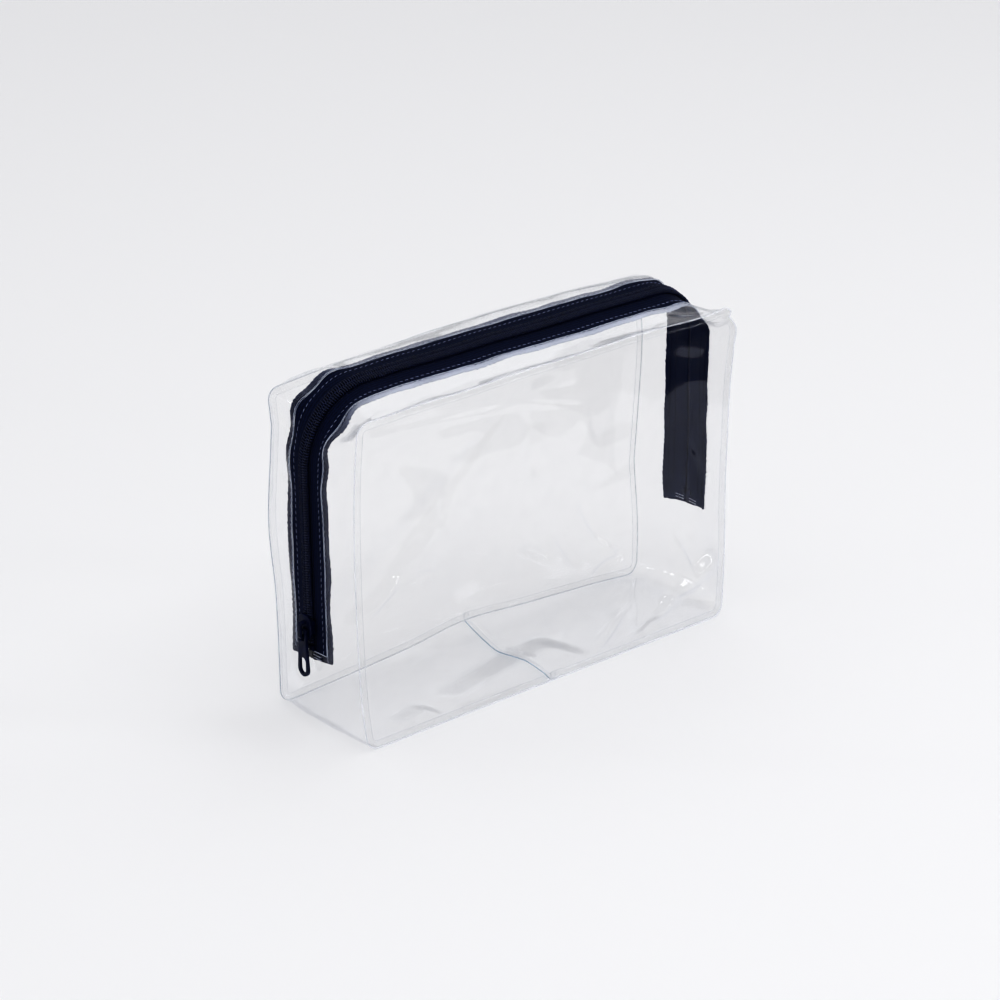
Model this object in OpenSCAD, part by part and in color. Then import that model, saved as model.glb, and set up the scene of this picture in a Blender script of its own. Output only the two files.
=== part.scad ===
// Clear film makeup bag with a zip that runs over the top and part way down both ends.
// Millimetres. +X along the bag's width, +Y to the back, +Z up.
// The origin is the middle of the flat base, on the surface that the bag stands on.

/* [Bag] */
// Width of the front and back panels
bag_w = 240; // [200:1:280]
// Depth from the front panel's outer face to the back panel's outer face
bag_d = 71; // [66:1:90]
// Height of the front and back panels
bag_h = 171; // [150:1:200]
// Thickness of the clear film
film = 0.5; // [0.3:0.1:0.8]
// Corner radius of the panels
panel_r = 7; // [5:0.5:12]
// Bottom corner radius of the gusset at the middle of its depth
base_r = 14; // [8:1:20]
// How far the gusset stands out beyond the panels' edges, at the middle of its depth
bulge = 7; // [4:0.5:10]
// Width of the gusset's turned-in lips, which are welded to the panels
lip_w = 4; // [3:0.5:5]
// Width of the lap that joins the gusset's ends under the bag
lap_w = 3; // [2:0.5:6]

/* [Zip] */
// Full width of the zip tape
tape_w = 32; // [28:1:36]
// Thickness of the tape
tape_t = 0.6; // [0.4:0.1:0.8]
// Width of the slot in the gusset that shows the tape
slot_w = 24.8; // [24.6:0.2:25.2]
// Width of the closed coil chain
chain_w = 7; // [6:0.5:8]
// Height of the coil above the tape
coil_h = 2.2; // [1.8:0.1:2.6]
// Gap between the two tape halves, where the slider's bridge runs
parting = 1.4; // [1.2:0.1:2]
// Radius of the zip's bend at the top left corner
zip_r_left = 38; // [20:1:40]
// Radius of the zip's bend at the top right corner
zip_r_right = 27; // [20:1:40]
// Height of the tape's end on the left, below the slider
tape_end_left = 40; // [36:1:44]
// Height of the tape's end on the right
tape_end_right = 52; // [40:1:60]

/* [Slider and pull tab] */
// Height of the slider's middle when the zip is closed
slider_z = 58; // [56:1:60]
// Length of the slider along the chain
slider_len = 13; // [11:0.5:15]
// Width of the slider
slider_w = 10.4; // [9:0.2:12]
// Length of the pull tab from its pivot to its tip
tab_len = 25; // [18:1:28]
// Width of the pull tab
tab_w = 8.2; // [7.6:0.2:9]
// Thickness of the pull tab
tab_t = 1.4; // [1:0.1:1.8]

/* [Hidden] */

film_colour = [0.86, 0.9, 0.94, 0.35];
navy = [0.08, 0.1, 0.2];
navy_dark = [0.04, 0.05, 0.1];
thread_grey = [0.62, 0.64, 0.7];
round_fn = 48;

// Half depth of the gusset, which lies between the panels' inner faces
half_d = bag_d / 2 - film;
// Clear gap left between layers that lie on each other
gap = 0.05;
// Layers of the zip, as depths below the gusset's outer surface: negative stands proud
tape_top = film + gap;
tape_under = tape_top + tape_t;
coil_top = film - coil_h;
coil_wall = 0.5;
thread_t = 0.35;
thread_w = 0.45;
// Distances of the three stitch rows from the middle of the chain
coil_stitch_y = chain_w / 2 + 0.05;
tape_stitch_y = 9.3;
edge_stitch_y = 12.9;
// Depths of the lines that the gusset and the tapes share, so that they lie on each other
zip_ys = [chain_w / 2, tape_stitch_y, tape_stitch_y + thread_w,
          edge_stitch_y, edge_stitch_y + thread_w, tape_w / 2];
// The slot stops this far above the tape's ends, and the coil further still
slot_margin = 5;
coil_margin = 8.5;
stop_len = 3;

// Number of steps round each corner, up each end and along the top and base
arc_steps = 8;
wall_steps = 4;
span_steps = 6;

// ---- The gusset's surface -------------------------------------------------------------
// Share of the full bulge at depth y: 1 in the middle, 0 at the panels
function share(y) = 1 - pow(y / half_d, 2);
function half_w(y) = bag_w / 2 + bulge * share(y);
function top_z(y) = bag_h + bulge * share(y);
function zip_r(side) = side < 0 ? zip_r_left : zip_r_right;
function top_r(y, side) = panel_r + (zip_r(side) - panel_r) * share(y);
function low_r(y) = panel_r + (base_r - panel_r) * share(y);

// A point of an arc of radius r about (cx, cz), turned a degrees from +X, at depth y and
// o below the surface
function arc_point(cx, cz, r, a, y, o) = [cx + (r - o) * cos(a), y, cz + (r - o) * sin(a)];
function top_arc(side, a, y, o) =
    let(r = top_r(y, side))
    arc_point(side * (half_w(y) - r), top_z(y) - r, r, a, y, o);
function low_arc(side, a, y, o) =
    let(r = low_r(y))
    arc_point(side * (half_w(y) - r), r, r, a, y, o);
function blend(a, b, t) = a + (b - a) * t;

// The zip's path at depth y: up the left end, over the top and down the right end.
// lift raises both ends above the tape's ends.
function zip_path(y, o, lift) = concat(
    let(last = top_arc(-1, 180, y, o))
    [for (i = [0 : wall_steps - 1])
        [last[0], y, blend(tape_end_left + lift, last[2], i / wall_steps)]],
    [for (i = [0 : arc_steps]) top_arc(-1, 180 - 90 * i / arc_steps, y, o)],
    [for (i = [1 : span_steps - 1])
        blend(top_arc(-1, 90, y, o), top_arc(1, 90, y, o), i / span_steps)],
    [for (i = [0 : arc_steps]) top_arc(1, 90 - 90 * i / arc_steps, y, o)],
    let(first = top_arc(1, 0, y, o))
    [for (i = [1 : wall_steps])
        [first[0], y, blend(first[2], tape_end_right + lift, i / wall_steps)]]);

// The whole loop of the gusset at depth y, from the middle of the base by the left end
function loop_path(y, o) = concat(
    [for (i = [0 : span_steps - 1]) blend([0, y, o], low_arc(-1, 270, y, o), i / span_steps)],
    [for (i = [0 : arc_steps]) low_arc(-1, 270 - 90 * i / arc_steps, y, o)],
    [for (i = [1 : wall_steps - 1])
        blend(low_arc(-1, 180, y, o), top_arc(-1, 180, y, o), i / wall_steps)],
    [for (i = [0 : arc_steps]) top_arc(-1, 180 - 90 * i / arc_steps, y, o)],
    [for (i = [1 : span_steps - 1])
        blend(top_arc(-1, 90, y, o), top_arc(1, 90, y, o), i / span_steps)],
    [for (i = [0 : arc_steps]) top_arc(1, 90 - 90 * i / arc_steps, y, o)],
    [for (i = [1 : wall_steps - 1])
        blend(top_arc(1, 0, y, o), low_arc(1, 0, y, o), i / wall_steps)],
    [for (i = [0 : arc_steps]) low_arc(1, -90 * i / arc_steps, y, o)],
    [for (i = [1 : span_steps - 1]) blend(low_arc(1, 270, y, o), [0, y, o], i / span_steps)]);

// A solid from side-by-side paths, one for each point of a cross-section given clockwise
// as seen along the path. A closed one joins its last ring to its first.
module swept(paths, closed = false) {
    m = len(paths);
    n = len(paths[0]);
    points = [for (j = [0 : n - 1]) for (i = [0 : m - 1]) paths[i][j]];
    rings = closed ? n : n - 1;
    sides = [for (j = [0 : rings - 1]) for (i = [0 : m - 1])
        let(a = j * m + i, b = j * m + (i + 1) % m,
            c = ((j + 1) % n) * m + (i + 1) % m, d = ((j + 1) % n) * m + i)
        each [[a, b, c], [a, c, d]]];
    ends = closed ? [] : [[for (i = [m - 1 : -1 : 0]) i], [for (i = [0 : m - 1]) (n - 1) * m + i]];
    polyhedron(points = points, faces = concat(sides, ends), convexity = 6);
}

// A strip that follows the zip, from y[0] to y[last], between depths outer and inner
module zip_strip(y, outer, inner, lift = 0) {
    n = len(y);
    swept(concat(
        [for (i = [0 : n - 1]) zip_path(y[i], outer, lift)],
        [for (i = [n - 1 : -1 : 0]) zip_path(y[i], inner, lift)]));
}

// The same list of depths on the front (side -1) or the back (side 1), always rising
function on_side(side, y) = side > 0 ? y : [for (i = [len(y) - 1 : -1 : 0]) -y[i]];

// ---- Film pieces ----------------------------------------------------------------------
module panel_outline(inset = 0) {
    translate([-bag_w / 2 + inset, inset])
        offset_rect(bag_w - 2 * inset, bag_h - 2 * inset, panel_r);
}

module offset_rect(w, h, r) {
    union() {
        translate([r, 0]) square([w - 2 * r, h]);
        translate([0, r]) square([w, h - 2 * r]);
        for (x = [r, w - r]) for (z = [r, h - r])
            translate([x, z]) circle(r = r, $fn = round_fn);
    }
}

module panel(side) {
    y = side < 0 ? -half_d : bag_d / 2;
    translate([0, y, 0]) rotate([90, 0, 0]) linear_extrude(film) panel_outline();
}

module front_panel() {
    color(film_colour) panel(-1);
}

module back_panel() {
    color(film_colour) panel(1);
}

// One welded band: a wide web that stands out between the panels, with a lip turned in
// along each edge, and a slot for the zip
module gusset() {
    back_ys = concat(zip_ys, half_d * [0.63, 0.8, 1]);
    ys = concat(on_side(-1, back_ys), back_ys);
    n = len(ys);
    inner_y = half_d - film;
    color(film_colour) difference() {
        union() {
            swept(concat(
                [for (i = [0 : n - 1]) loop_path(ys[i], 0)],
                [loop_path(half_d, lip_w), loop_path(inner_y, lip_w), loop_path(inner_y, film)],
                [for (i = [n - 2 : -1 : 1]) loop_path(ys[i], film)],
                [loop_path(-inner_y, film), loop_path(-inner_y, lip_w),
                 loop_path(-half_d, lip_w)]),
                closed = true);
            // Lap where the strip's two ends are welded together, under the bag's middle
            translate([-lap_w / 2, -inner_y, film / 2]) cube([lap_w, 2 * inner_y, film]);
        }
        slot_cut(-1, tape_end_left + slot_margin);
        slot_cut(1, tape_end_right + slot_margin);
    }
}

module slot_cut(side, low) {
    reach = bag_w;
    translate([side < 0 ? -reach : -1, -slot_w / 2, low]) cube([reach + 1, slot_w, reach]);
}

// ---- Zip ------------------------------------------------------------------------------
module zip_tape(side) {
    color(navy) difference() {
        zip_strip(on_side(side, concat([parting / 2], zip_ys)), tape_top, tape_under);
        // Notches that the end stops' necks pass through
        for (z_side = [-1, 1]) stop_neck(z_side, side, gap);
    }
}

module zip_coil(side) {
    a = parting / 2;
    b = chain_w / 2;
    section = [[a, film], [a, coil_top], [b, coil_top], [b, film],
               [b - coil_wall, film], [b - coil_wall, coil_top + coil_wall],
               [a + coil_wall, coil_top + coil_wall], [a + coil_wall, film]];
    ordered = side > 0 ? section : [for (i = [len(section) - 1 : -1 : 0]) section[i]];
    color(navy_dark) swept([for (p = ordered) zip_path(side * p[0], p[1], coil_margin)]);
}

module coil_cord(side) {
    a = parting / 2 + coil_wall + gap;
    b = chain_w / 2 - coil_wall - gap;
    color(navy) zip_strip(on_side(side, [a, b]), coil_top + coil_wall + gap, film, coil_margin);
}

// Row at the coil's foot that holds it to the tape
module coil_stitch(side) {
    y = on_side(side, [coil_stitch_y, coil_stitch_y + 0.3]);
    color(navy) zip_strip(y, tape_top - thread_t, tape_top - 0.02, coil_margin);
}

// A sewn row: one thread outside, above the layer at depth outer, and one inside the tape
module stitch_row(side, from, outer) {
    y = on_side(side, [from, from + thread_w]);
    color(thread_grey) {
        zip_strip(y, outer - gap - thread_t, outer - gap, slot_margin);
        zip_strip(y, tape_under + gap, tape_under + gap + thread_t, slot_margin);
    }
}

// Outer face of the gusset's middle on each end of the bag
function wall_x(side) = side * (bag_w / 2 + bulge);
function tape_end(side) = side < 0 ? tape_end_left : tape_end_right;

// A block on one end of the bag, from depth outer to depth inner below the wall's face
module wall_block(side, y0, y1, z0, z1, outer, inner) {
    x0 = wall_x(side) - side * inner;
    x1 = wall_x(side) - side * outer;
    translate([min(x0, x1), min(y0, y1), z0]) cube([abs(x1 - x0), abs(y1 - y0), z1 - z0]);
}

// A line on an end's surface at height z and depth o below it, from y0 to y1
function wall_line(side, y0, y1, z, o) =
    [for (i = [0 : wall_steps])
        let(y = blend(y0, y1, i / wall_steps)) [side * (half_w(y) - o), y, z]];

// Short rows of thread across the tape's end, just below the slot
module end_tack(side) {
    low = tape_end(side) + 1.5;
    color(thread_grey) for (y_side = [-1, 1]) for (z = [low, low + 1.6]) {
        y0 = y_side * (side * y_side < 0 ? 2 : 8);
        y1 = y_side * (side * y_side < 0 ? 8 : 2);
        swept([wall_line(side, y0, y1, z, -gap - thread_t),
               wall_line(side, y0, y1, z + thread_w, -gap - thread_t),
               wall_line(side, y0, y1, z + thread_w, -gap),
               wall_line(side, y0, y1, z, -gap)]);
    }
}

// The part of a stop that passes through the tape, with clearance all round
module stop_neck(z_side, side, clear) {
    z = tape_end(z_side) + coil_margin - stop_len + 0.8;
    wall_block(z_side, side * (parting / 2 + 1 - clear), side * (chain_w / 2 - 0.6 + clear),
               z - clear, z + 1.2 + clear, -0.5, tape_under + 0.6);
}

// A small clip over the end of one coil: a block outside, a neck and a foot inside
module stop(z_side, side) {
    top = tape_end(z_side) + coil_margin - 0.2;
    low = top - stop_len + 0.2;
    a = side * (parting / 2 + 0.1);
    b = side * (chain_w / 2);
    wall_block(z_side, a, b, low, top, coil_top, film - 0.02);
    wall_block(z_side, a, b, low, top, tape_under + 0.1, tape_under + 0.8);
    stop_neck_bar(z_side, side);
}

module stop_neck_bar(z_side, side) {
    z = tape_end(z_side) + coil_margin - stop_len + 0.8;
    wall_block(z_side, side * (parting / 2 + 1), side * (chain_w / 2 - 0.6),
               z, z + 1.2, -0.4, tape_under + 0.4);
}

// The stop at the far end ties both coils together with a bar across the gap
module bottom_stop() {
    color(navy_dark) {
        stop(1, 1);
        stop(1, -1);
        top = tape_end(1) + coil_margin - 0.2;
        wall_block(1, -1, 1, top - stop_len + 0.2, top, coil_top, film - 0.02);
    }
}

// ---- Slider and pull tab --------------------------------------------------------------
slide_gap = 0.25;
plate_t = 1.2;
plate_top = coil_top - slide_gap - plate_t;
rail_inner = chain_w / 2 + 0.45;
rail_w = 0.65;
pivot_r = 0.85;
// The crown is the arch that holds the pull tab; its eye is centred on the pivot
crown_half = 4.4;
crown_post = 1.3;
crown_w = 2.4;
crown_bar = 1.2;
eye_h = 2.5;
pivot_out = 0.35 + pivot_r;
arm_top = 0.6;
pivot_z = slider_z - 1;
pivot_x = wall_x(-1) + plate_top - pivot_out;
window_len = 5.6;
window_w = 3.4;
hole_w = 4.8;
hole_len = 8.6;

// A flat plate with a rounded nose at its lower end and a narrower tail at its upper end,
// lying on the chain, between two depths
module slider_plate(outer, inner) {
    nose_r = slider_w / 2;
    tail_r = 2;
    tail_half = rail_inner + rail_w;
    x0 = wall_x(-1) + outer;
    translate([x0, 0, slider_z]) rotate([90, 0, 90]) linear_extrude(inner - outer)
        intersection() {
            translate([-slider_w / 2, -slider_len / 2]) square([slider_w, slider_len]);
            union() {
                translate([0, -slider_len / 2 + nose_r]) circle(r = nose_r, $fn = round_fn);
                polygon([[-nose_r, -slider_len / 2 + nose_r], [nose_r, -slider_len / 2 + nose_r],
                         [tail_half, slider_len / 2 - tail_r], [tail_half - tail_r, slider_len / 2],
                         [tail_r - tail_half, slider_len / 2], [-tail_half, slider_len / 2 - tail_r]]);
            }
        }
}

module slider_body() {
    color(navy_dark) union() {
        slider_plate(plate_top, plate_top + plate_t);
        slider_plate(tape_under + slide_gap, tape_under + slide_gap + 1);
        // Rails that run beside the chain, from the plate down to the tape
        for (side = [-1, 1])
            wall_block(-1, side * rail_inner, side * (rail_inner + rail_w),
                       slider_z - 3, slider_z + slider_len / 2 - 2.2, plate_top + 0.4, -0.1);
        // Bridge between the two plates, which parts the coils
        wall_block(-1, -0.5, 0.5, slider_z - slider_len / 2 + 0.6, slider_z - slider_len / 2 + 3.6,
                   plate_top + 0.4, tape_under + slide_gap + 0.5);
        crown();
    }
}

module crown() {
    base = wall_x(-1) + plate_top + 0.4;
    far = base - 0.4 - eye_h - crown_bar;
    translate([0, crown_w / 2, pivot_z]) rotate([90, 0, 0]) linear_extrude(crown_w)
        difference() {
            polygon([[base, -crown_half], [far + 1, -crown_half], [far, -crown_half + 1.2],
                     [far, crown_half - 1.2], [far + 1, crown_half], [base, crown_half]]);
            translate([base - 0.4 - eye_h, -crown_half + crown_post])
                square([eye_h, 2 * (crown_half - crown_post)]);
        }
}

module pull_tab() {
    tip_r = tab_w / 2;
    color(navy) translate([pivot_x, 0, pivot_z]) {
        // Crossbar that turns in the crown's eye
        rotate([90, 0, 0]) cylinder(r = pivot_r, h = window_w + 1.6, center = true, $fn = round_fn);
        translate([-tab_t / 2, 0, 0]) rotate([90, 0, 90]) linear_extrude(tab_t)
            difference() {
                union() {
                    translate([0, -tab_len + tip_r]) circle(r = tip_r, $fn = round_fn);
                    polygon([[-tip_r, -tab_len + tip_r], [tip_r, -tab_len + tip_r],
                             [3.1, -7.5], [3.1, arm_top], [-3.1, arm_top], [-3.1, -7.5]]);
                }
                translate([-window_w / 2, -window_len]) square([window_w, window_len + 2]);
                for (z = [-tab_len + 1.7 + hole_w / 2, -tab_len + 1.7 + hole_len - hole_w / 2])
                    translate([0, z]) circle(r = hole_w / 2, $fn = round_fn);
                translate([-hole_w / 2, -tab_len + 1.7 + hole_w / 2])
                    square([hole_w, hole_len - hole_w]);
            }
    }
}

front_panel();
back_panel();
gusset();
zip_tape(-1);  // zip_tape_front
zip_tape(1);  // zip_tape_back
zip_coil(-1);  // zip_coil_front
zip_coil(1);  // zip_coil_back
coil_cord(-1);  // coil_cord_front
coil_cord(1);  // coil_cord_back
coil_stitch(-1);  // coil_stitch_front
coil_stitch(1);  // coil_stitch_back
stitch_row(-1, tape_stitch_y, tape_top);  // tape_stitch_front
stitch_row(1, tape_stitch_y, tape_top);  // tape_stitch_back
stitch_row(-1, edge_stitch_y, 0);  // edge_stitch_front
stitch_row(1, edge_stitch_y, 0);  // edge_stitch_back
end_tack(-1);  // end_tack_left
end_tack(1);  // end_tack_right
color(navy_dark) stop(-1, -1);  // top_stop_front
color(navy_dark) stop(-1, 1);  // top_stop_back
bottom_stop();
slider_body();
pull_tab();
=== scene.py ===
"""Looks of a clear film makeup bag with a navy zip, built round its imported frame.

Lengths are millimetres inside the classes, and become metres where a mesh is made.
+X runs along the bag's width, +Y to its back, +Z up, from the middle of its base.
"""

from __future__ import annotations

import logging
import math
from dataclasses import dataclass, field
from enum import Enum
from typing import Callable, Sequence

import bmesh
import bpy
from mathutils import Matrix, Vector, noise

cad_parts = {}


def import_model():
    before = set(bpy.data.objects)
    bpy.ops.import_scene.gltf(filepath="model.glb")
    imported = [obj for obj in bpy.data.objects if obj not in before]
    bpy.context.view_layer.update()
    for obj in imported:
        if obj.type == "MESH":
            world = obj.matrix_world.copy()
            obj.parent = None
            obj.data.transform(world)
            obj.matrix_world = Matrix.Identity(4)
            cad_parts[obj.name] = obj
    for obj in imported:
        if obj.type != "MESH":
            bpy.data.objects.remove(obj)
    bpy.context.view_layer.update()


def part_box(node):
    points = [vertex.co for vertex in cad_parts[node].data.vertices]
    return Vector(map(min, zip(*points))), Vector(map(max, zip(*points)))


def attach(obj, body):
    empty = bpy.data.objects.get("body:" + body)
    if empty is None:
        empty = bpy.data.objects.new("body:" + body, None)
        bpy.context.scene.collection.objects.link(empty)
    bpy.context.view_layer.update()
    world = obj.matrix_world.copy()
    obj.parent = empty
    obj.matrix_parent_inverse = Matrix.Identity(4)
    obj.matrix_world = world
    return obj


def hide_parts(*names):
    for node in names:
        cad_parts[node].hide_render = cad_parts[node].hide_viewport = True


log = logging.getLogger("makeup_bag")

MM = 0.001
BAG_BODY = "bag"
SLIDER_BODY = "slider"
TAB_BODY = "tab"


class Side(Enum):
    """The two long faces of the bag, by the sign of Y."""

    FRONT = -1
    BACK = 1

    @property
    def word(self) -> str:
        """The side's name as the frame's nodes spell it."""
        return self.name.lower()


class End(Enum):
    """The two narrow ends of the bag, by the sign of X."""

    LEFT = -1
    RIGHT = 1

    @property
    def word(self) -> str:
        """The end's name as the frame's nodes spell it."""
        return self.name.lower()


class Slot(Enum):
    """The record's material slots."""

    FILM = "clear_film"
    TAPE = "zip_tape"
    COIL = "coil"
    CORD = "cord"
    NAVY_THREAD = "navy_thread"
    PALE_THREAD = "pale_thread"
    ZINC = "painted_zinc"


# ---- Small helpers ----------------------------------------------------------------------


def linear(colour: str, alpha: float = 1.0) -> tuple[float, float, float, float]:
    """Turns an sRGB hex colour into a linear one.

    Args:
        colour: the colour as "#rrggbb".
        alpha: its opacity.

    Returns:
        Red, green, blue and alpha, linear.
    """
    channels = []
    for start in (1, 3, 5):
        value = int(colour[start:start + 2], 16) / 255
        channels.append(value / 12.92 if value <= 0.04045 else ((value + 0.055) / 1.055) ** 2.4)
    return channels[0], channels[1], channels[2], alpha


def ramp(low: float, high: float, value: float) -> float:
    """Eases from 0 at low to 1 at high.

    Args:
        low: where the ease starts.
        high: where the ease ends.
        value: the place to read it at.

    Returns:
        The eased share, from 0 to 1.
    """
    share = min(1.0, max(0.0, (value - low) / (high - low)))
    return share * share * (3 - 2 * share)


def mix(a: float, b: float, share: float) -> float:
    """The value that lies share of the way from a to b."""
    return a + (b - a) * share


def add_node(
    tree: bpy.types.NodeTree,
    kind: str,
    settings: dict | None = None,
    inputs: dict | None = None,
) -> bpy.types.Node:
    """Adds a node with its settings and links.

    Args:
        tree: the node tree to add it to.
        kind: the node's type name.
        settings: its properties.
        inputs: its input sockets, by name or number: a value, or a socket to link from.

    Returns:
        The new node.
    """
    item = tree.nodes.new(kind)
    for key, value in (settings or {}).items():
        setattr(item, key, value)
    for key, value in (inputs or {}).items():
        if isinstance(value, bpy.types.NodeSocket):
            tree.links.new(value, item.inputs[key])
        else:
            item.inputs[key].default_value = value
    return item


def new_material(name: str) -> tuple[bpy.types.Material, bpy.types.NodeTree]:
    """Makes an empty node material.

    Args:
        name: the material's name.

    Returns:
        The material and its cleared node tree.
    """
    material = bpy.data.materials.new(name)
    material.use_nodes = True
    material.node_tree.nodes.clear()
    return material, material.node_tree


@dataclass(frozen=True)
class SwayLine:
    """How far a slack edge strays from its true line, eased through a few points.

    Attributes:
        points: pairs of place along the edge and distance strayed, in rising order.
    """

    points: tuple[tuple[float, float], ...]

    def at(self, place: float) -> float:
        """The distance strayed at a place along the edge."""
        points = self.points
        if place <= points[0][0]:
            return points[0][1]
        if place >= points[-1][0]:
            return points[-1][1]
        last = len(points) - 1
        k = next(i for i in range(last) if place <= points[i + 1][0])
        (x0, y0), (x1, y1) = points[k], points[k + 1]
        before = points[max(k - 1, 0)]
        after = points[min(k + 2, last)]
        span = x1 - x0
        slope0 = (y1 - before[1]) / (x1 - before[0]) * span
        slope1 = (after[1] - y0) / (after[0] - x0) * span
        t = (place - x0) / span
        rise = y0 * (2 * t**3 - 3 * t**2 + 1) + y1 * (3 * t**2 - 2 * t**3)
        return rise + slope0 * (t**3 - 2 * t**2 + t) + slope1 * (t**3 - t**2)


# ---- The bag's shape --------------------------------------------------------------------


@dataclass(frozen=True)
class Crease:
    """A fold that handling has left in film: two even slopes that meet in a rounded ridge.

    Attributes:
        start: its first end on the sheet, in the sheet's own two directions.
        end: its other end.
        rise: its height where it is widest; negative is a valley. Its slopes stay the
            same all along it.
        width: half its width at the first end.
        end_width: half its width at the other end.
        fade: share of its length over which each end dies away.
    """

    start: tuple[float, float]
    end: tuple[float, float]
    rise: float
    width: float
    end_width: float
    fade: float = 0.35

    def at(self, across: float, up: float) -> float:
        """The fold's height at a place on the sheet."""
        run_a, run_b = self.end[0] - self.start[0], self.end[1] - self.start[1]
        off_a, off_b = across - self.start[0], up - self.start[1]
        t = (off_a * run_a + off_b * run_b) / (run_a**2 + run_b**2)
        if not -0.1 < t < 1.1:
            return 0.0
        width = mix(self.width, self.end_width, min(1.0, max(0.0, t)))
        off = math.hypot(off_a - t * run_a, off_b - t * run_b) / width
        if off > 3:
            return 0.0
        slope = math.hypot(off, 0.14)
        height = (math.hypot(slope - 1, 0.12) + 1 - slope) / 2
        height *= self.rise * width / max(self.width, self.end_width)
        return height * ramp(-0.1, self.fade, t) * (1 - ramp(1 - self.fade, 1.1, t))


@dataclass
class BagForm:
    """The outer surface of the slack bag, which every soft piece is laid on.

    A place on the gusset is (along, depth): the distance along the middle of the gusset,
    from the middle of the base by the left end, and the distance back from that middle.

    Attributes:
        half_w: half the panels' width.
        height: the panels' height.
        half_d: half the gusset's depth.
        bulge: how far the gusset's middle stands out beyond the panels' edges.
        film: the film's thickness.
        panel_r: corner radius at the panels.
        base_r: bottom corner radius at the middle of the depth.
        zip_r_left: bend radius of the zip at the top left.
        zip_r_right: bend radius of the zip at the top right.
        top_tilt: how much the top leans forward, in millimetres of rise for each of depth.
        pucker_left: height of the ruffles at the top left bend.
        base_creases: folds in the base, by X and Y; they rise inwards.
    """

    half_w: float
    height: float
    half_d: float
    bulge: float
    film: float
    panel_r: float = 7.0
    base_r: float = 14.0
    zip_r_left: float = 38.0
    zip_r_right: float = 27.0
    top_tilt: float = 0.29
    pucker_left: float = 1.7
    base_creases: tuple[Crease, ...] = ()
    left_front: SwayLine = SwayLine(((0, 0), (26, 3), (62, 4.6), (106, 5), (140, 4), (172, 1)))
    left_back: SwayLine = SwayLine(((0, -1), (60, -1.4), (100, -4), (139, -1), (170, 1.6)))
    right_front: SwayLine = SwayLine(
        ((0, 0), (50, 0.4), (100, -0.4), (129, -2), (150, -4.4), (159, -5), (168, 2.6))
    )
    right_back: SwayLine = SwayLine(((0, -3), (25, -3), (60, -0.5), (98, 2), (138, 5), (165, 1.5)))
    top_front: SwayLine = SwayLine(((-118, 1), (-40, 2), (60, 3), (100, 2), (116, 3.4)))
    top_back: SwayLine = SwayLine(((-118, -1), (-70, 2), (0, 4.6), (70, 4), (112, 1)))
    base_lift: SwayLine = SwayLine(((-112, 0), (-39, 4.7), (0, 8.8), (40, 6), (88, 2.6), (114, 0)))
    lengths: tuple[float, ...] = field(init=False)

    def __post_init__(self) -> None:
        """Works out the nine stretches of the loop at the middle of the depth."""
        reach = self.half_w + self.bulge
        top = self.height + self.bulge
        quarter = math.pi / 2
        self.lengths = (
            reach - self.base_r,
            self.base_r * quarter,
            top - self.zip_r_left - self.base_r,
            self.zip_r_left * quarter,
            2 * reach - self.zip_r_left - self.zip_r_right,
            self.zip_r_right * quarter,
            top - self.zip_r_right - self.base_r,
            self.base_r * quarter,
            reach - self.base_r,
        )

    @property
    def total(self) -> float:
        """Length of the whole loop at the middle of the depth."""
        return sum(self.lengths)

    def start_of(self, stretch: int) -> float:
        """Distance along the loop at which a stretch starts."""
        return sum(self.lengths[:stretch])

    def along_at_height(self, end: End, z: float) -> float:
        """Distance along the loop of a height on one straight end wall."""
        if end is End.LEFT:
            return self.start_of(2) + z - self.base_r
        return self.start_of(7) - (z - self.base_r)

    def share(self, depth: float) -> float:
        """Share of the full bulge at a depth: 1 in the middle, 0 at the panels."""
        return max(0.0, 1 - (depth / self.half_d) ** 2)

    def true_point(self, along: float, depth: float, inset: float) -> Vector:
        """A point of the taut gusset, inset below its outer surface.

        Args:
            along: distance along the loop.
            depth: distance back from the middle.
            inset: distance below the surface; negative stands proud.

        Returns:
            The point, in millimetres.
        """
        share = self.share(depth)
        reach = self.half_w + self.bulge * share
        top = self.height + self.bulge * share
        low_r = mix(self.panel_r, self.base_r, share)
        left_r = mix(self.panel_r, self.zip_r_left, share)
        right_r = mix(self.panel_r, self.zip_r_right, share)
        stretch, rest = 0, along
        while stretch < 8 and rest > self.lengths[stretch]:
            rest -= self.lengths[stretch]
            stretch += 1
        t = rest / self.lengths[stretch]
        if stretch == 0:
            return Vector((-t * (reach - low_r), depth, inset))
        if stretch == 8:
            return Vector(((1 - t) * (reach - low_r), depth, inset))
        if stretch == 2:
            return Vector((inset - reach, depth, mix(low_r, top - left_r, t)))
        if stretch == 4:
            return Vector((mix(left_r - reach, reach - right_r, t), depth, top - inset))
        if stretch == 6:
            return Vector((reach - inset, depth, mix(top - right_r, low_r, t)))
        corner = {
            1: (low_r - reach, low_r, low_r, 270),
            3: (left_r - reach, top - left_r, left_r, 180),
            5: (reach - right_r, top - right_r, right_r, 90),
            7: (reach - low_r, low_r, low_r, 0),
        }[stretch]
        x, z, radius, angle = corner
        turn = math.radians(angle - 90 * t)
        return Vector(
            (x + (radius - inset) * math.cos(turn), depth, z + (radius - inset) * math.sin(turn))
        )

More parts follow.
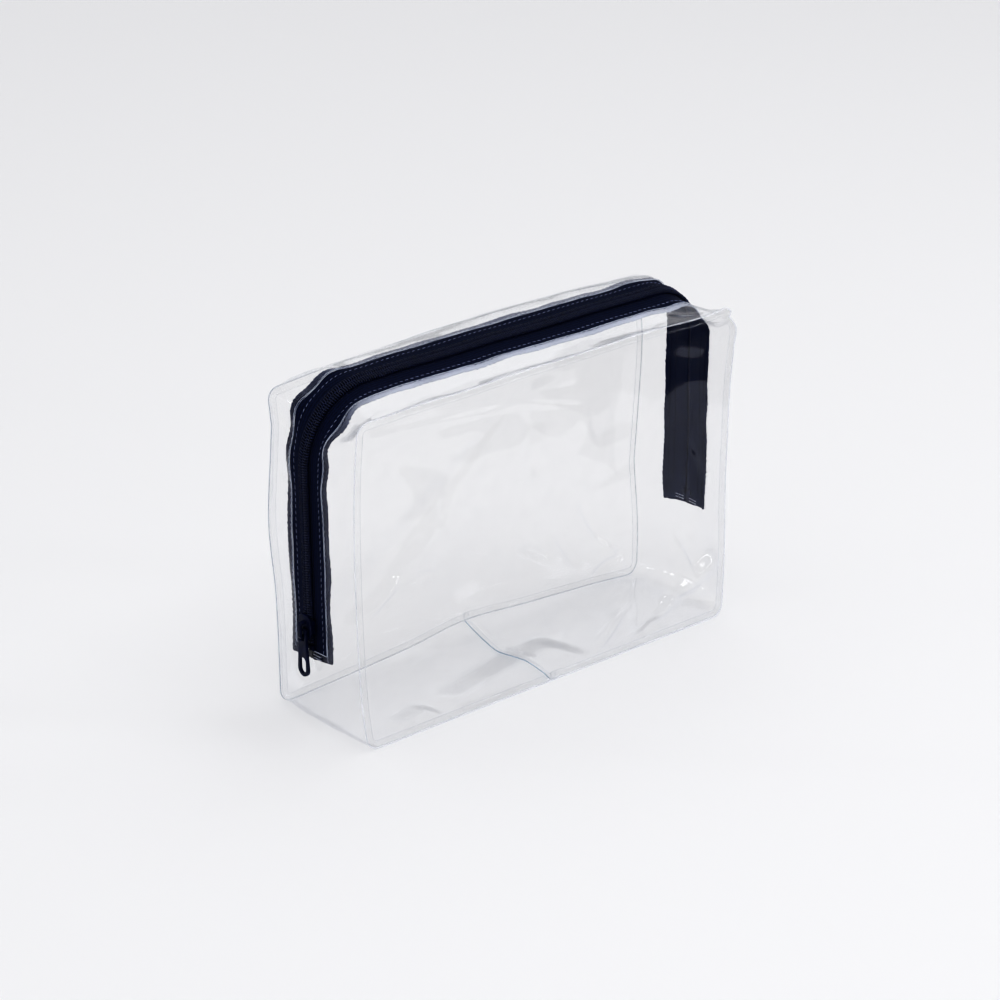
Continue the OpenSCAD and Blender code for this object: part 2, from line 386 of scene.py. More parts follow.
    def slump(self, point: Vector) -> Vector:
        """Moves a point of the taut bag to where it lies in the slack one."""
        x, y, z = point
        t = max(-1.0, min(1.0, y / self.half_d))
        fore, aft = max(0.0, -t) ** 2.4, max(0.0, t) ** 2.4
        lines = (self.left_front, self.left_back) if x < 0 else (self.right_front, self.right_back)
        sway = lines[0].at(z) * fore + lines[1].at(z) * aft
        x_new = x + math.copysign(sway * ramp(60, 116, abs(x)), x)
        top = ramp(118, 166, z)
        rise = self.top_front.at(x) * fore + self.top_back.at(x) * aft
        rise += self.top_tilt * y * (1 - t * t)
        low = 1 - ramp(2, 70, z)
        back = max(0.0, (y - 6) / (self.half_d - 6))
        lift = self.base_lift.at(x) * back**1.4 * low
        return Vector((x_new, y, max(0.0, z + rise * top + lift)))

    def wave(self, along: float, depth: float) -> float:
        """How far the slack surface stands proud of the smooth one, which all layers share."""
        far = abs(depth)
        off_track = ramp(self.start_of(3) + 6, self.start_of(3) + 60, along)
        loose = ramp(7, 15, far) * (1 - ramp(self.half_d - 6, self.half_d - 1, far))
        slow = noise.noise(Vector((along / 34, depth / 24, 1.7)))
        quick = noise.noise(Vector((along / 13, depth / 10, 8.3)))
        ripple = noise.noise(Vector((along / 42, 0.0, 4.1)))
        out = (1.1 * slow + 0.45 * quick) * loose + 0.9 * ripple * off_track * (1 - loose)
        from_base = min(along, self.total - along) - self.lengths[0]
        on_base = ramp(0, 30, from_base + 20)
        out = out * on_base + self.pucker(along, depth)
        if from_base < 0 and self.base_creases:
            x = -along if along < self.total / 2 else self.total - along
            inward = sum(crease.at(x, depth) for crease in self.base_creases)
            out -= inward * ramp(0, 6, self.half_d - far) * (1 - ramp(-8, 0, from_base))
        return out

    def pucker(self, along: float, depth: float) -> float:
        """The tape's edges ruffle round the bends, where they are longer than the film."""
        far = abs(depth)
        ruffled = ramp(7, 15, far) * (1 - ramp(19, 32, far))
        out = 0.0
        for stretch, size in ((3, self.pucker_left), (5, 0.6 * self.pucker_left)):
            middle = self.start_of(stretch) + 0.35 * self.lengths[stretch]
            near = math.exp(-(((along - middle) / 34) ** 2))
            phase = 0.9 if depth > 0 else 2.6
            out += size * near * math.sin(2 * math.pi * (along - middle) / 29 + phase)
        return out * ruffled

    def place(self, along: float, depth: float, inset: float) -> Vector:
        """A point of the slack gusset, in metres.

        Args:
            along: distance along the loop.
            depth: distance back from the middle.
            inset: distance below the outer surface; negative stands proud.

        Returns:
            The point, in metres.
        """
        point = self.true_point(along, depth, inset - self.wave(along, depth))
        return self.slump(point) * MM


def form_from_frame() -> BagForm:
    """Reads the bag's size from the frame's nodes."""
    low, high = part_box("front_panel")
    _, gusset_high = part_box("gusset")
    return BagForm(
        half_w=high.x / MM,
        height=high.z / MM,
        half_d=gusset_high.y / MM,
        bulge=(gusset_high.x - high.x) / MM,
        film=(high.y - low.y) / MM,
    )


# ---- Mesh helpers -----------------------------------------------------------------------


def link_mesh(name: str, shape: bmesh.types.BMesh) -> bpy.types.Object:
    """Makes an object at the origin from a bmesh, and frees the bmesh."""
    mesh = bpy.data.meshes.new(name)
    shape.to_mesh(mesh)
    shape.free()
    piece = bpy.data.objects.new(name, mesh)
    bpy.context.scene.collection.objects.link(piece)
    return piece


def shade_smooth(piece: bpy.types.Object, sharp_deg: float = 40) -> None:
    """Shades a piece smooth, with edges over an angle kept sharp."""
    piece.data.shade_smooth()
    piece.data.set_sharp_from_angle(angle=math.radians(sharp_deg))


def sheet_from_grid(
    name: str,
    rows: Sequence[float],
    columns: Sequence[float],
    place: Callable[[float, float], Vector],
    keep: Callable[[float, float], bool] | None = None,
    outside: Vector | None = None,
) -> bpy.types.Object:
    """Lays a grid on a surface, with a UV map of its rows and columns in metres.

    Args:
        name: the new object's name.
        rows: the places of the grid's rows.
        columns: the places of its columns.
        place: gives the point in metres for a row and a column.
        keep: says whether the face about a row and a column stays.
        outside: a point that the faces turn their backs on, or face away from.

    Returns:
        The sheet, one layer thick.
    """
    shape = bmesh.new()
    bmesh.ops.create_grid(
        shape, x_segments=len(rows) - 1, y_segments=len(columns) - 1, size=0.5, calc_uvs=True
    )
    uv_layer = shape.loops.layers.uv.verify()
    spots = {}
    for vert in shape.verts:
        i = round((vert.co.x + 0.5) * (len(rows) - 1))
        j = round((vert.co.y + 0.5) * (len(columns) - 1))
        spots[vert.index] = (i, j)
    shape.verts.ensure_lookup_table()
    doomed = []
    for face in shape.faces:
        for loop in face.loops:
            i, j = spots[loop.vert.index]
            loop[uv_layer].uv = (rows[i] * MM, columns[j] * MM)
        if keep is not None:
            i = [spots[v.index][0] for v in face.verts]
            j = [spots[v.index][1] for v in face.verts]
            middle_row = (rows[min(i)] + rows[max(i)]) / 2
            middle_column = (columns[min(j)] + columns[max(j)]) / 2
            if not keep(middle_row, middle_column):
                doomed.append(face)
    for vert in shape.verts:
        i, j = spots[vert.index]
        vert.co = place(rows[i], columns[j])
    bmesh.ops.delete(shape, geom=doomed, context="FACES")
    shape.normal_update()
    if outside is not None:
        faces = list(shape.faces)
        lean = sum(
            (face.calc_center_median() - outside).dot(face.normal) * face.calc_area()
            for face in faces
        )
        if lean < 0:
            bmesh.ops.reverse_faces(shape, faces=faces)
    piece = link_mesh(name, shape)
    piece.data.shade_smooth()
    return piece


def thicken(
    piece: bpy.types.Object, thickness: float, rim_slot: int = 0, inner_slot: int = 0
) -> None:
    """Gives a sheet its thickness inwards, with its cut edges in their own slot.

    Args:
        piece: the sheet.
        thickness: in millimetres.
        rim_slot: how many material slots further on the cut edges are.
        inner_slot: how many material slots further on the inner face is.
    """
    wall = piece.modifiers.new("thickness", "SOLIDIFY")
    wall.thickness = thickness * MM
    wall.offset = -1
    wall.use_even_offset = True
    wall.use_rim = True
    wall.material_offset = inner_slot
    wall.material_offset_rim = rim_slot


def tube_along(
    name: str,
    runs: Sequence[Sequence[Vector]],
    radius: float,
    sides: int = 6,
    closed: bool = False,
) -> bpy.types.Object:
    """Makes round runs of thread, wire or bead as one mesh.

    Args:
        name: the new object's name.
        runs: the centre lines, in metres.
        radius: in millimetres.
        sides: 4, 6 or 8 sides round each run.
        closed: whether each run joins its own start.

    Returns:
        The mesh object.
    """
    curve = bpy.data.curves.new(name, "CURVE")
    curve.dimensions = "3D"
    curve.bevel_depth = radius * MM
    curve.bevel_resolution = sides // 2 - 2
    curve.use_fill_caps = not closed
    for run in runs:
        spline = curve.splines.new("POLY")
        spline.points.add(len(run) - 1)
        for k, point in enumerate(run):
            spline.points[k].co = (*point, 1.0)
        spline.use_cyclic_u = closed
    holder = bpy.data.objects.new(name + "_run", curve)
    bpy.context.scene.collection.objects.link(holder)
    bpy.context.view_layer.update()
    shaped = holder.evaluated_get(bpy.context.evaluated_depsgraph_get())
    mesh = bpy.data.meshes.new_from_object(shaped)
    bpy.data.objects.remove(holder)
    bpy.data.curves.remove(curve)
    mesh.name = name
    shape = bmesh.new()
    shape.from_mesh(mesh)
    bmesh.ops.remove_doubles(shape, verts=shape.verts, dist=1e-6)
    bmesh.ops.recalc_face_normals(shape, faces=shape.faces)
    shape.to_mesh(mesh)
    shape.free()
    piece = bpy.data.objects.new(name, mesh)
    bpy.context.scene.collection.objects.link(piece)
    mesh.shade_smooth()
    return piece


def even(low: float, high: float, step: float) -> list[float]:
    """Places from low to high, evenly spaced and about a step apart."""
    count = max(1, round((high - low) / step))
    return [mix(low, high, k / count) for k in range(count + 1)]


def dress(piece: bpy.types.Object, body: str, slot: Slot, *materials: bpy.types.Material) -> None:
    """Gives a piece its materials and the body that it rides on."""
    for material in materials:
        piece.data.materials.append(material)
    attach(piece, body)
    log.info("%s: %d points", piece.name, len(piece.data.vertices))


# ---- Finishes ---------------------------------------------------------------------------


def soften_shadow(tree: bpy.types.NodeTree, skin: bpy.types.Node, shade: float) -> None:
    """Ends a see-through material with a shadow paler than its face would cast.

    Args:
        tree: the material's node tree.
        skin: the shader that is seen.
        shade: share of the full shadow that is kept.
    """
    path = add_node(tree, "ShaderNodeLightPath")
    filled = add_node(
        tree,
        "ShaderNodeMath",
        {"operation": "MULTIPLY"},
        {0: path.outputs["Is Shadow Ray"], 1: 1 - shade},
    ).outputs[0]
    passed = add_node(tree, "ShaderNodeBsdfTransparent", inputs={"Color": (1, 1, 1, 1)})
    whole = add_node(
        tree,
        "ShaderNodeMixShader",
        inputs={0: filled, 1: skin.outputs[0], 2: passed.outputs[0]},
    )
    add_node(tree, "ShaderNodeOutputMaterial", inputs={"Surface": whole.outputs[0]})


@dataclass(frozen=True)
class ClearPvcFilm:
    """Calendered clear PVC: almost no colour, a wet gloss and faint handling haze.

    Attributes:
        face_tint: colour left in light that passes straight through one face.
        edge_tint: colour left in light that passes along the film.
        face_gloss: share reflected face on, for an IOR of about 1.53.
        haze: share of light that scuffs scatter.
        scuff: colour of that scattered light.
        shade: share of its full shadow that it casts; light bounced about inside the bag
            fills in the rest.
    """

    face_tint: str = "#fdfdfd"
    edge_tint: str = "#f5f6f9"
    face_gloss: float = 0.024
    haze: float = 0.006
    scuff: str = "#e4e9f0"
    shade: float = 0.18

    def build(self) -> bpy.types.Material:
        """Makes the material."""
        material, tree = new_material("clear_pvc_film")
        where = add_node(tree, "ShaderNodeTexCoord")
        facing = add_node(tree, "ShaderNodeLayerWeight", inputs={"Blend": 0.5}).outputs["Facing"]
        steep = add_node(
            tree, "ShaderNodeMath", {"operation": "POWER"}, {0: facing, 1: 5.0}
        ).outputs[0]
        gloss_share = add_node(
            tree,
            "ShaderNodeMapRange",
            inputs={"Value": steep, "To Min": self.face_gloss, "To Max": 0.9},
        ).outputs[0]
        glancing = add_node(
            tree, "ShaderNodeMath", {"operation": "POWER"}, {0: facing, 1: 3.0}
        ).outputs[0]
        tint = add_node(
            tree,
            "ShaderNodeMix",
            {"data_type": "RGBA"},
            {0: glancing, 6: linear(self.face_tint), 7: linear(self.edge_tint)},
        ).outputs[2]
        # Rolling leaves slow swells about 25 mm apart, with smaller ones on them
        swell = add_node(
            tree,
            "ShaderNodeTexNoise",
            inputs={"Vector": where.outputs["Object"], "Scale": 1 / (25 * MM), "Detail": 2.0},
        )
        bump = add_node(
            tree,
            "ShaderNodeBump",
            inputs={"Height": swell.outputs[0], "Strength": 0.35, "Distance": 0.4 * MM},
        )
        scuffs = add_node(
            tree,
            "ShaderNodeTexNoise",
            inputs={"Vector": where.outputs["Object"], "Scale": 1 / (9 * MM), "Detail": 6.0},
        )
        roughness = add_node(
            tree,
            "ShaderNodeMapRange",
            inputs={"Value": scuffs.outputs[0], "To Min": 0.02, "To Max": 0.09},
        ).outputs[0]
        clear = add_node(tree, "ShaderNodeBsdfTransparent", inputs={"Color": tint})
        gloss = add_node(
            tree,
            "ShaderNodeBsdfGlossy",
            inputs={
                "Color": (1, 1, 1, 1),
                "Roughness": roughness,
                "Normal": bump.outputs[0],
            },
        )
        scatter = add_node(tree, "ShaderNodeBsdfDiffuse", inputs={"Color": linear(self.scuff)})
        haze_share = add_node(
            tree,
            "ShaderNodeMapRange",
            inputs={
                "Value": scuffs.outputs[0],
                "From Min": 0.45,
                "From Max": 0.75,
                "To Min": self.haze * 0.3,
                "To Max": self.haze * 2,
            },
        ).outputs[0]
        body = add_node(
            tree,
            "ShaderNodeMixShader",
            inputs={0: haze_share, 1: clear.outputs[0], 2: scatter.outputs[0]},
        )
        skin = add_node(
            tree,
            "ShaderNodeMixShader",
            inputs={0: gloss_share, 1: body.outputs[0], 2: gloss.outputs[0]},
        )
        soften_shadow(tree, skin, self.shade)
        return material


@dataclass(frozen=True)
class FilmCutEdge:
    """The film end on, where it is cut, folded or welded: light runs along it, so it shows
    as a thin line against the film's clear face. That line is painted light: its opaque
    part takes a colour that is painted highlight where pale and painted shade where grey.

    Attributes:
        name: the material's name.
        tint: colour left in light that crosses the edge.
        sheen: colour of its opaque part, which is painted light: painted highlight where it
        is pale, painted shade where it is grey.
        body: share of the surface that isn't see-through.
        shade: share of its full shadow that it casts.
    """

    name: str = "pvc_cut_edge"
    tint: str = "#fafbfd"
    sheen: str = "#e6eaf0"
    body: float = 0.12
    shade: float = 0.4

    def build(self) -> bpy.types.Material:
        """Makes the material."""
        material, tree = new_material(self.name)
        where = add_node(tree, "ShaderNodeTexCoord")
        drift = add_node(
            tree,
            "ShaderNodeTexNoise",
            inputs={"Vector": where.outputs["Object"], "Scale": 1 / (14 * MM), "Detail": 3.0},
        )
        share = add_node(
            tree,
            "ShaderNodeMapRange",
            inputs={
                "Value": drift.outputs[0],
                "From Min": 0.35,
                "From Max": 0.65,
                "To Min": self.body * 0.5,
                "To Max": min(1.0, self.body * 1.5),
            },
        ).outputs[0]
        clear = add_node(tree, "ShaderNodeBsdfTransparent", inputs={"Color": linear(self.tint)})
        solid = add_node(
            tree,
            "ShaderNodeBsdfPrincipled",
            inputs={"Base Color": linear(self.sheen), "Roughness": 0.12, "IOR": 1.53},
        )
        skin = add_node(
            tree,
            "ShaderNodeMixShader",
            inputs={0: share, 1: clear.outputs[0], 2: solid.outputs[0]},
        )
        soften_shadow(tree, skin, self.shade)
        return material


@dataclass(frozen=True)
class WovenZipTape:
    """Navy polyester tape, woven with ribs along its length. Light is painted into it: the
    ribs' crowns are a painted highlight, and its covered margin is painted paler along the
    zip's top, as a painted reflection of the room in the film over it.

    Attributes:
        name: the material's name.
        ground: colour of the tape.
        rib: colour of the ribs' crowns, which is a painted highlight.
        margin: colour of the covered margin, painted paler as a painted reflection of the
        room in the film over it.
        margin_from: distance from the middle at which the margin starts.
        reflection_rises: stretch along the zip over which the painted reflection on the
            margin comes in.
        reflection_fades: stretch over which it goes again, from its far end.
        reflection_kept: share of the painted reflection that is left off the zip's top.
        rib_pitch: spacing of the ribs across the tape. Both pitches are drawn coarser than
            they are, so that they show.
        pick_pitch: spacing of the weft along the tape.
    """

    name: str = "woven_navy_zip_tape"
    ground: str = "#070b18"
    rib: str = "#212f5c"
    margin: str = "#b9bfd2"
    margin_from: float = 13.1
    reflection_rises: tuple[float, float] = (280.0, 335.0)
    reflection_fades: tuple[float, float] = (545.0, 500.0)
    reflection_kept: float = 0.06
    rib_pitch: float = 1.5
    pick_pitch: float = 1.5

    def build(self) -> bpy.types.Material:
        """Makes the material."""
        material, tree = new_material(self.name)
        cloth_uv = add_node(tree, "ShaderNodeUVMap", {"uv_map": "UVMap"})
        parts = add_node(tree, "ShaderNodeSeparateXYZ", inputs={0: cloth_uv.outputs[0]})
        along, across = parts.outputs[0], parts.outputs[1]
        waves = []
        for reach, pitch in ((along, self.pick_pitch), (across, self.rib_pitch)):
            turn = add_node(
                tree,
                "ShaderNodeMath",
                {"operation": "MULTIPLY"},
                {0: reach, 1: 2 * math.pi / (pitch * MM)},
            ).outputs[0]
            waves.append(
                add_node(tree, "ShaderNodeMath", {"operation": "SINE"}, {0: turn}).outputs[0]
            )
        picks, ribs = waves
        weave = add_node(
            tree, "ShaderNodeMath", {"operation": "MULTIPLY_ADD"}, {0: picks, 1: ribs, 2: ribs}
        ).outputs[0]
        level = add_node(
            tree,
            "ShaderNodeMapRange",
            inputs={"Value": weave, "From Min": -2.0, "From Max": 2.0},
        ).outputs[0]
        fuzz = add_node(
            tree,
            "ShaderNodeTexNoise",
            inputs={"Vector": cloth_uv.outputs[0], "Scale": 1 / (1.6 * MM), "Detail": 4.0},
        )
        # Painted highlight: the weave's crowns are drawn paler, in random patches.
        lit_crowns = add_node(
            tree,
            "ShaderNodeMath",
            {"operation": "MULTIPLY", "use_clamp": True},
            {0: level, 1: fuzz.outputs[0]},
        ).outputs[0]
        cloth = add_node(
            tree,
            "ShaderNodeMix",
            {"data_type": "RGBA"},
            {0: lit_crowns, 6: linear(self.ground), 7: linear(self.rib)},
        ).outputs[2]
        # Painted reflection: the margin under the film is drawn paler, in patches, along the zip's
        # top only.
        spread = add_node(
            tree, "ShaderNodeMath", {"operation": "ABSOLUTE"}, {0: across}
        ).outputs[0]
        covered = add_node(
            tree,
            "ShaderNodeMapRange",
            inputs={
                "Value": spread,
                "From Min": (self.margin_from - 0.15) * MM,
                "From Max": (self.margin_from + 0.15) * MM,
            },
        ).outputs[0]
        patchy = add_node(
            tree,
            "ShaderNodeTexNoise",
            inputs={"Vector": cloth_uv.outputs[0], "Scale": 1 / (18 * MM), "Detail": 3.0},
        )
        loose = add_node(
            tree,
            "ShaderNodeMapRange",
            inputs={
                "Value": patchy.outputs[0],
                "From Min": 0.35,
                "From Max": 0.65,
                "To Min": 0.75,
                "To Max": 1.0,
            },
        ).outputs[0]
        reflection_share = add_node(
            tree, "ShaderNodeMath", {"operation": "MULTIPLY"}, {0: covered, 1: loose}
        ).outputs[0]
        for first, last in (self.reflection_rises, self.reflection_fades):
            top_share = add_node(
                tree,
                "ShaderNodeMapRange",
                {"interpolation_type": "SMOOTHSTEP"},
                {
                    "Value": along,
                    "From Min": min(first, last) * MM,
                    "From Max": max(first, last) * MM,
                    "To Min": self.reflection_kept if first < last else 1.0,
                    "To Max": 1.0 if first < last else self.reflection_kept,
                },
            ).outputs[0]
            reflection_share = add_node(
                tree, "ShaderNodeMath", {"operation": "MULTIPLY"}, {0: reflection_share, 1: top_share}
            ).outputs[0]
        colour = add_node(
            tree,
            "ShaderNodeMix",
            {"data_type": "RGBA"},
            {0: reflection_share, 6: cloth, 7: linear(self.margin)},
        ).outputs[2]
        bump = add_node(
            tree,
            "ShaderNodeBump",
            inputs={"Height": level, "Strength": 0.9, "Distance": 0.16 * MM},
        )
        skin = add_node(
            tree,
            "ShaderNodeBsdfPrincipled",
            inputs={
                "Base Color": colour,
                "Roughness": 0.7,
                "Specular IOR Level": 0.08,
                "Sheen Weight": 0.02,
                "Sheen Roughness": 0.4,
                "Normal": bump.outputs[0],
            },
        )
        add_node(tree, "ShaderNodeOutputMaterial", inputs={"Surface": skin.outputs[0]})
        return material


@dataclass(frozen=True)
class Spun:
    """A yarn, cord or drawn wire: one colour that drifts, with a fine grain.

    Attributes:
        name: the material's name.
        colour: its main colour.
        light: its colour on worn or raised places.
        roughness: of the surface.
        grain: spacing of the grain.
        sheen: how much fibre sheen it has.
        specular: how strongly it mirrors face on.
    """

    name: str
    colour: str
    light: str
    roughness: float
    grain: float
    sheen: float = 0.0
    specular: float = 0.2

    def build(self) -> bpy.types.Material:
        """Makes the material."""
        material, tree = new_material(self.name)
        where = add_node(tree, "ShaderNodeTexCoord")
        grain = add_node(
            tree,
            "ShaderNodeTexNoise",
            inputs={"Vector": where.outputs["Object"], "Scale": 1 / (self.grain * MM)},
        )
        share = add_node(
            tree,
            "ShaderNodeMapRange",
            inputs={"Value": grain.outputs[0], "From Min": 0.35, "From Max": 0.7},
        ).outputs[0]
        colour = add_node(
            tree,
            "ShaderNodeMix",
            {"data_type": "RGBA"},
            {0: share, 6: linear(self.colour), 7: linear(self.light)},
        ).outputs[2]
        rough = add_node(
            tree,
            "ShaderNodeMapRange",
            inputs={
                "Value": grain.outputs[0],
                "To Min": self.roughness * 0.8,
                "To Max": min(1.0, self.roughness * 1.2),
            },
        ).outputs[0]
        bump = add_node(
            tree,
            "ShaderNodeBump",
            inputs={"Height": grain.outputs[0], "Strength": 0.3, "Distance": 0.05 * MM},
        )
        skin = add_node(
            tree,
            "ShaderNodeBsdfPrincipled",
            inputs={
                "Base Color": colour,
                "Roughness": rough,
                "Sheen Weight": self.sheen,
                "Specular IOR Level": self.specular,
                "Normal": bump.outputs[0],
            },
        )
        add_node(tree, "ShaderNodeOutputMaterial", inputs={"Surface": skin.outputs[0]})
        return material


@dataclass(frozen=True)
class PaintedZinc:
    """Die-cast zinc under dark navy enamel: satin, slightly orange-peeled, a little rubbed.

    Attributes:
        paint: the enamel's colour.
        rubbed: its colour where handling has dulled it.
    """

    paint: str = "#0a1230"
    rubbed: str = "#141e48"

    def build(self) -> bpy.types.Material:
        """Makes the material."""
        material, tree = new_material("navy_enamelled_zinc")
        where = add_node(tree, "ShaderNodeTexCoord")
        peel = add_node(
            tree,
            "ShaderNodeTexNoise",
            inputs={"Vector": where.outputs["Object"], "Scale": 1 / (0.9 * MM), "Detail": 2.0},
        )
        wear = add_node(
            tree,
            "ShaderNodeTexNoise",
            inputs={"Vector": where.outputs["Object"], "Scale": 1 / (4 * MM), "Detail": 5.0},
        )
        share = add_node(
            tree,
            "ShaderNodeMapRange",
            inputs={"Value": wear.outputs[0], "From Min": 0.5, "From Max": 0.8},
        ).outputs[0]
        colour = add_node(
            tree,
            "ShaderNodeMix",
            {"data_type": "RGBA"},
            {0: share, 6: linear(self.paint), 7: linear(self.rubbed)},
        ).outputs[2]
        rough = add_node(
            tree,
            "ShaderNodeMapRange",
            inputs={"Value": wear.outputs[0], "To Min": 0.22, "To Max": 0.5},
        ).outputs[0]
        bump = add_node(
            tree,
            "ShaderNodeBump",
            inputs={"Height": peel.outputs[0], "Strength": 0.12, "Distance": 0.08 * MM},
        )
        skin = add_node(
            tree,
            "ShaderNodeBsdfPrincipled",
            inputs={
                "Base Color": colour,
                "Metallic": 0.0,
                "Roughness": rough,
                "Specular IOR Level": 0.12,
                "Coat Weight": 0.04,
                "Coat Roughness": 0.12,
                "Normal": bump.outputs[0],
            },
        )
        add_node(tree, "ShaderNodeOutputMaterial", inputs={"Surface": skin.outputs[0]})
        return material


@dataclass
class Finishes:
    """Every material of the bag, made once."""

    film: bpy.types.Material = field(default_factory=ClearPvcFilm().build)
    # Film's cut edges: a faint pale line, which is painted highlight.
    cut_edge_highlight: bpy.types.Material = field(default_factory=FilmCutEdge().build)
    # Front weld: a white line, which is painted highlight.
    bead_front_highlight: bpy.types.Material = field(
        default_factory=FilmCutEdge("pvc_weld_front_highlight", "#f7f8fb", "#f3f5f8", 0.34).build
    )
    # Back weld: a grey line, which is painted shade.
    bead_back_shade: bpy.types.Material = field(
        default_factory=FilmCutEdge("pvc_weld_back_shade", "#eaedf1", "#b4bac3", 0.3).build
    )
    # Slot edge: a pale line along the cut edge, which is painted highlight.
    slot_edge_highlight: bpy.types.Material = field(
        default_factory=FilmCutEdge("pvc_slot_edge", "#e4e8f0", "#ccd3e0", 0.5).build
    )
    # Lap weld: a dark blue line, which is painted shade; its bluish see-through tint is the doubled
    # film's own.
    lap_weld_shade: bpy.types.Material = field(
        default_factory=FilmCutEdge("pvc_lap_weld_shade", "#cfe0ec", "#8aa7bd", 0.4).build
    )
    # Painted light on the tapes: the paler rib crowns are painted highlight, and the margins are
    # painted reflection of the room in the film over them, pale at the front, slate at the back and
    # hardly paler inside.
    tape_front: bpy.types.Material = field(default_factory=WovenZipTape().build)
    tape_rear: bpy.types.Material = field(
        default_factory=WovenZipTape("woven_navy_tape_rear", margin="#39425e").build
    )
    tape_inside: bpy.types.Material = field(
        default_factory=WovenZipTape(
            "woven_navy_tape_inside", "#0c142e", "#1a2850", "#0e1732"
        ).build
    )
    nylon: bpy.types.Material = field(
        default_factory=Spun(
            "navy_nylon_wire", "#0e152e", "#22305f", 0.34, 0.8, specular=0.4
        ).build
    )
    cord: bpy.types.Material = field(
        default_factory=Spun("navy_twisted_cord", "#080c1a", "#161c34", 0.85, 0.5, 0.05).build
    )
    navy_thread: bpy.types.Material = field(
        default_factory=Spun("navy_sewing_thread", "#0e1326", "#1d2442", 0.7, 0.4, 0.05).build
    )
    pale_thread: bpy.types.Material = field(
        default_factory=Spun("pale_sewing_thread", "#80869b", "#cdd1dc", 0.6, 0.6, 0.2).build
    )
    dim_thread: bpy.types.Material = field(
        default_factory=Spun("slate_sewing_thread", "#666e8c", "#a6adc1", 0.7, 0.6, 0.05).build
    )
    zinc: bpy.types.Material = field(default_factory=PaintedZinc().build)


# ---- Film pieces ------------------------------------------------------------------------


@dataclass
class FilmPanel:
    """One flat face of the bag: a slack sheet of film with a weld bead round its edge.

    Attributes:
        form: the bag's shape.
        side: which face it is.
        creases: ridges and valleys in it.
        billow: how far its middle stands out.
        ripple: size of its slow waves.
        bead_r: radius of the weld bead.
        cell: spacing of the sheet's grid.
    """

    form: BagForm
    side: Side
    creases: tuple[Crease, ...]
    billow: float
    ripple: float
    bead_r: float = 0.3
    cell: float = 1.3

    def edge_point(self, along: float, out: float = 0.0) -> Vector:
        """A point of the panel's outline, out beyond the gusset's edge, in metres."""
        point = self.form.place(along, self.side.value * self.form.half_d, 0)
        point.y += self.side.value * out * MM
        return point

    def edge_run(self, *turns: float, count: int) -> list[Vector]:
        """Points of the outline through some places on the loop, spread by true distance.

        Args:
            turns: places along the loop, in pairs that are joined end to end.
            count: number of gaps between points.

        Returns:
            The points, packed a little closer at both ends.
        """
        fine: list[Vector] = []
        for first, last in zip(turns[::2], turns[1::2]):
            fine += [self.edge_point(mix(first, last, k / 400)) for k in range(401)]
        reach = [0.0]
        for a, b in zip(fine, fine[1:]):
            reach.append(reach[-1] + (b - a).length)
        points, k = [], 0
        for n in range(count + 1):
            t = n / count
            target = mix(t, (1 - math.cos(math.pi * t)) / 2, 0.45) * reach[-1]
            while k < len(fine) - 2 and reach[k + 1] < target:
                k += 1
            span = max(reach[k + 1] - reach[k], 1e-9)
            points.append(fine[k].lerp(fine[k + 1], min(1.0, (target - reach[k]) / span)))
        return points

    def relief(self, x: float, z: float) -> float:
        """How far the slack panel stands out at a place, away from its edge."""
        half_w, height = self.form.half_w, self.form.height
        rim = min(half_w - abs(x), z, height - z)
        crown = (1 - (x / half_w) ** 2) * (1 - ((z - height / 2) / (height / 2)) ** 2)
        slow = noise.noise(Vector((x / 62, z / 48, 3.0 * self.side.value)))
        quick = noise.noise(Vector((x / 24, z / 20, 5.0 * self.side.value)))
        waves = self.ripple * (slow + 0.3 * quick)
        folds = sum(crease.at(x, z) for crease in self.creases)
        return (self.billow * crown + waves) * ramp(2, 22, rim) + folds * ramp(0.5, 6, rim)

    def build(self, finishes: Finishes) -> None:
        """Makes the panel and its bead.

        Args:
            finishes: the bag's materials.
        """
        form = self.form
        middles = [form.start_of(k) + form.lengths[k] / 2 for k in (1, 3, 5, 7)]
        nx = round(2 * form.half_w / self.cell)
        nz = round(form.height / self.cell)
        left = self.edge_run(middles[0], middles[1], count=nz)
        top = self.edge_run(middles[1], middles[2], count=nx)
        right = self.edge_run(middles[3], middles[2], count=nz)
        bottom = self.edge_run(middles[0], 0, form.total, middles[3], count=nx)

        def place(column: float, row: float) -> Vector:
            """Blends the four edges, then lets the film slacken."""
            i, j = round(column), round(row)
            u, v = i / nx, j / nz
            flat = bottom[i] * (1 - v) + top[i] * v + left[j] * (1 - u) + right[j] * u
            flat -= (bottom[0] * (1 - u) + bottom[nx] * u) * (1 - v)
            flat -= (top[0] * (1 - u) + top[nx] * u) * v
            out = self.relief(flat.x / MM, flat.z / MM) + form.film
            return Vector((flat.x, flat.y + self.side.value * out * MM, flat.z))

        name = f"film_panel_{self.side.word}"
        panel = sheet_from_grid(
            name,
            [float(i) for i in range(nx + 1)],
            [float(j) for j in range(nz + 1)],
            place,
            outside=Vector((0, 0, form.height / 2 * MM)),
        )
        thicken(panel, form.film, rim_slot=1)
        dress(panel, BAG_BODY, Slot.FILM, finishes.film, finishes.cut_edge_highlight)
        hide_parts(f"{self.side.word}_panel")
        rim = even(0, form.total, 1.6)[:-1]
        bead = tube_along(
            f"weld_bead_{self.side.word}",
            [[self.bead_point(along) for along in rim]],
            self.bead_r,
            sides=8,
            closed=True,
        )
        # The front weld's line is painted highlight, white; the back weld's is painted shade, grey.
        welds = {Side.FRONT: finishes.bead_front_highlight, Side.BACK: finishes.bead_back_shade}
        dress(bead, BAG_BODY, Slot.FILM, welds[self.side])

    def bead_point(self, along: float) -> Vector:
        """The middle of the weld bead, which stays clear of the floor."""
        point = self.edge_point(along, self.form.film / 2)
        point.z = max(point.z, self.bead_r * MM)
        return point


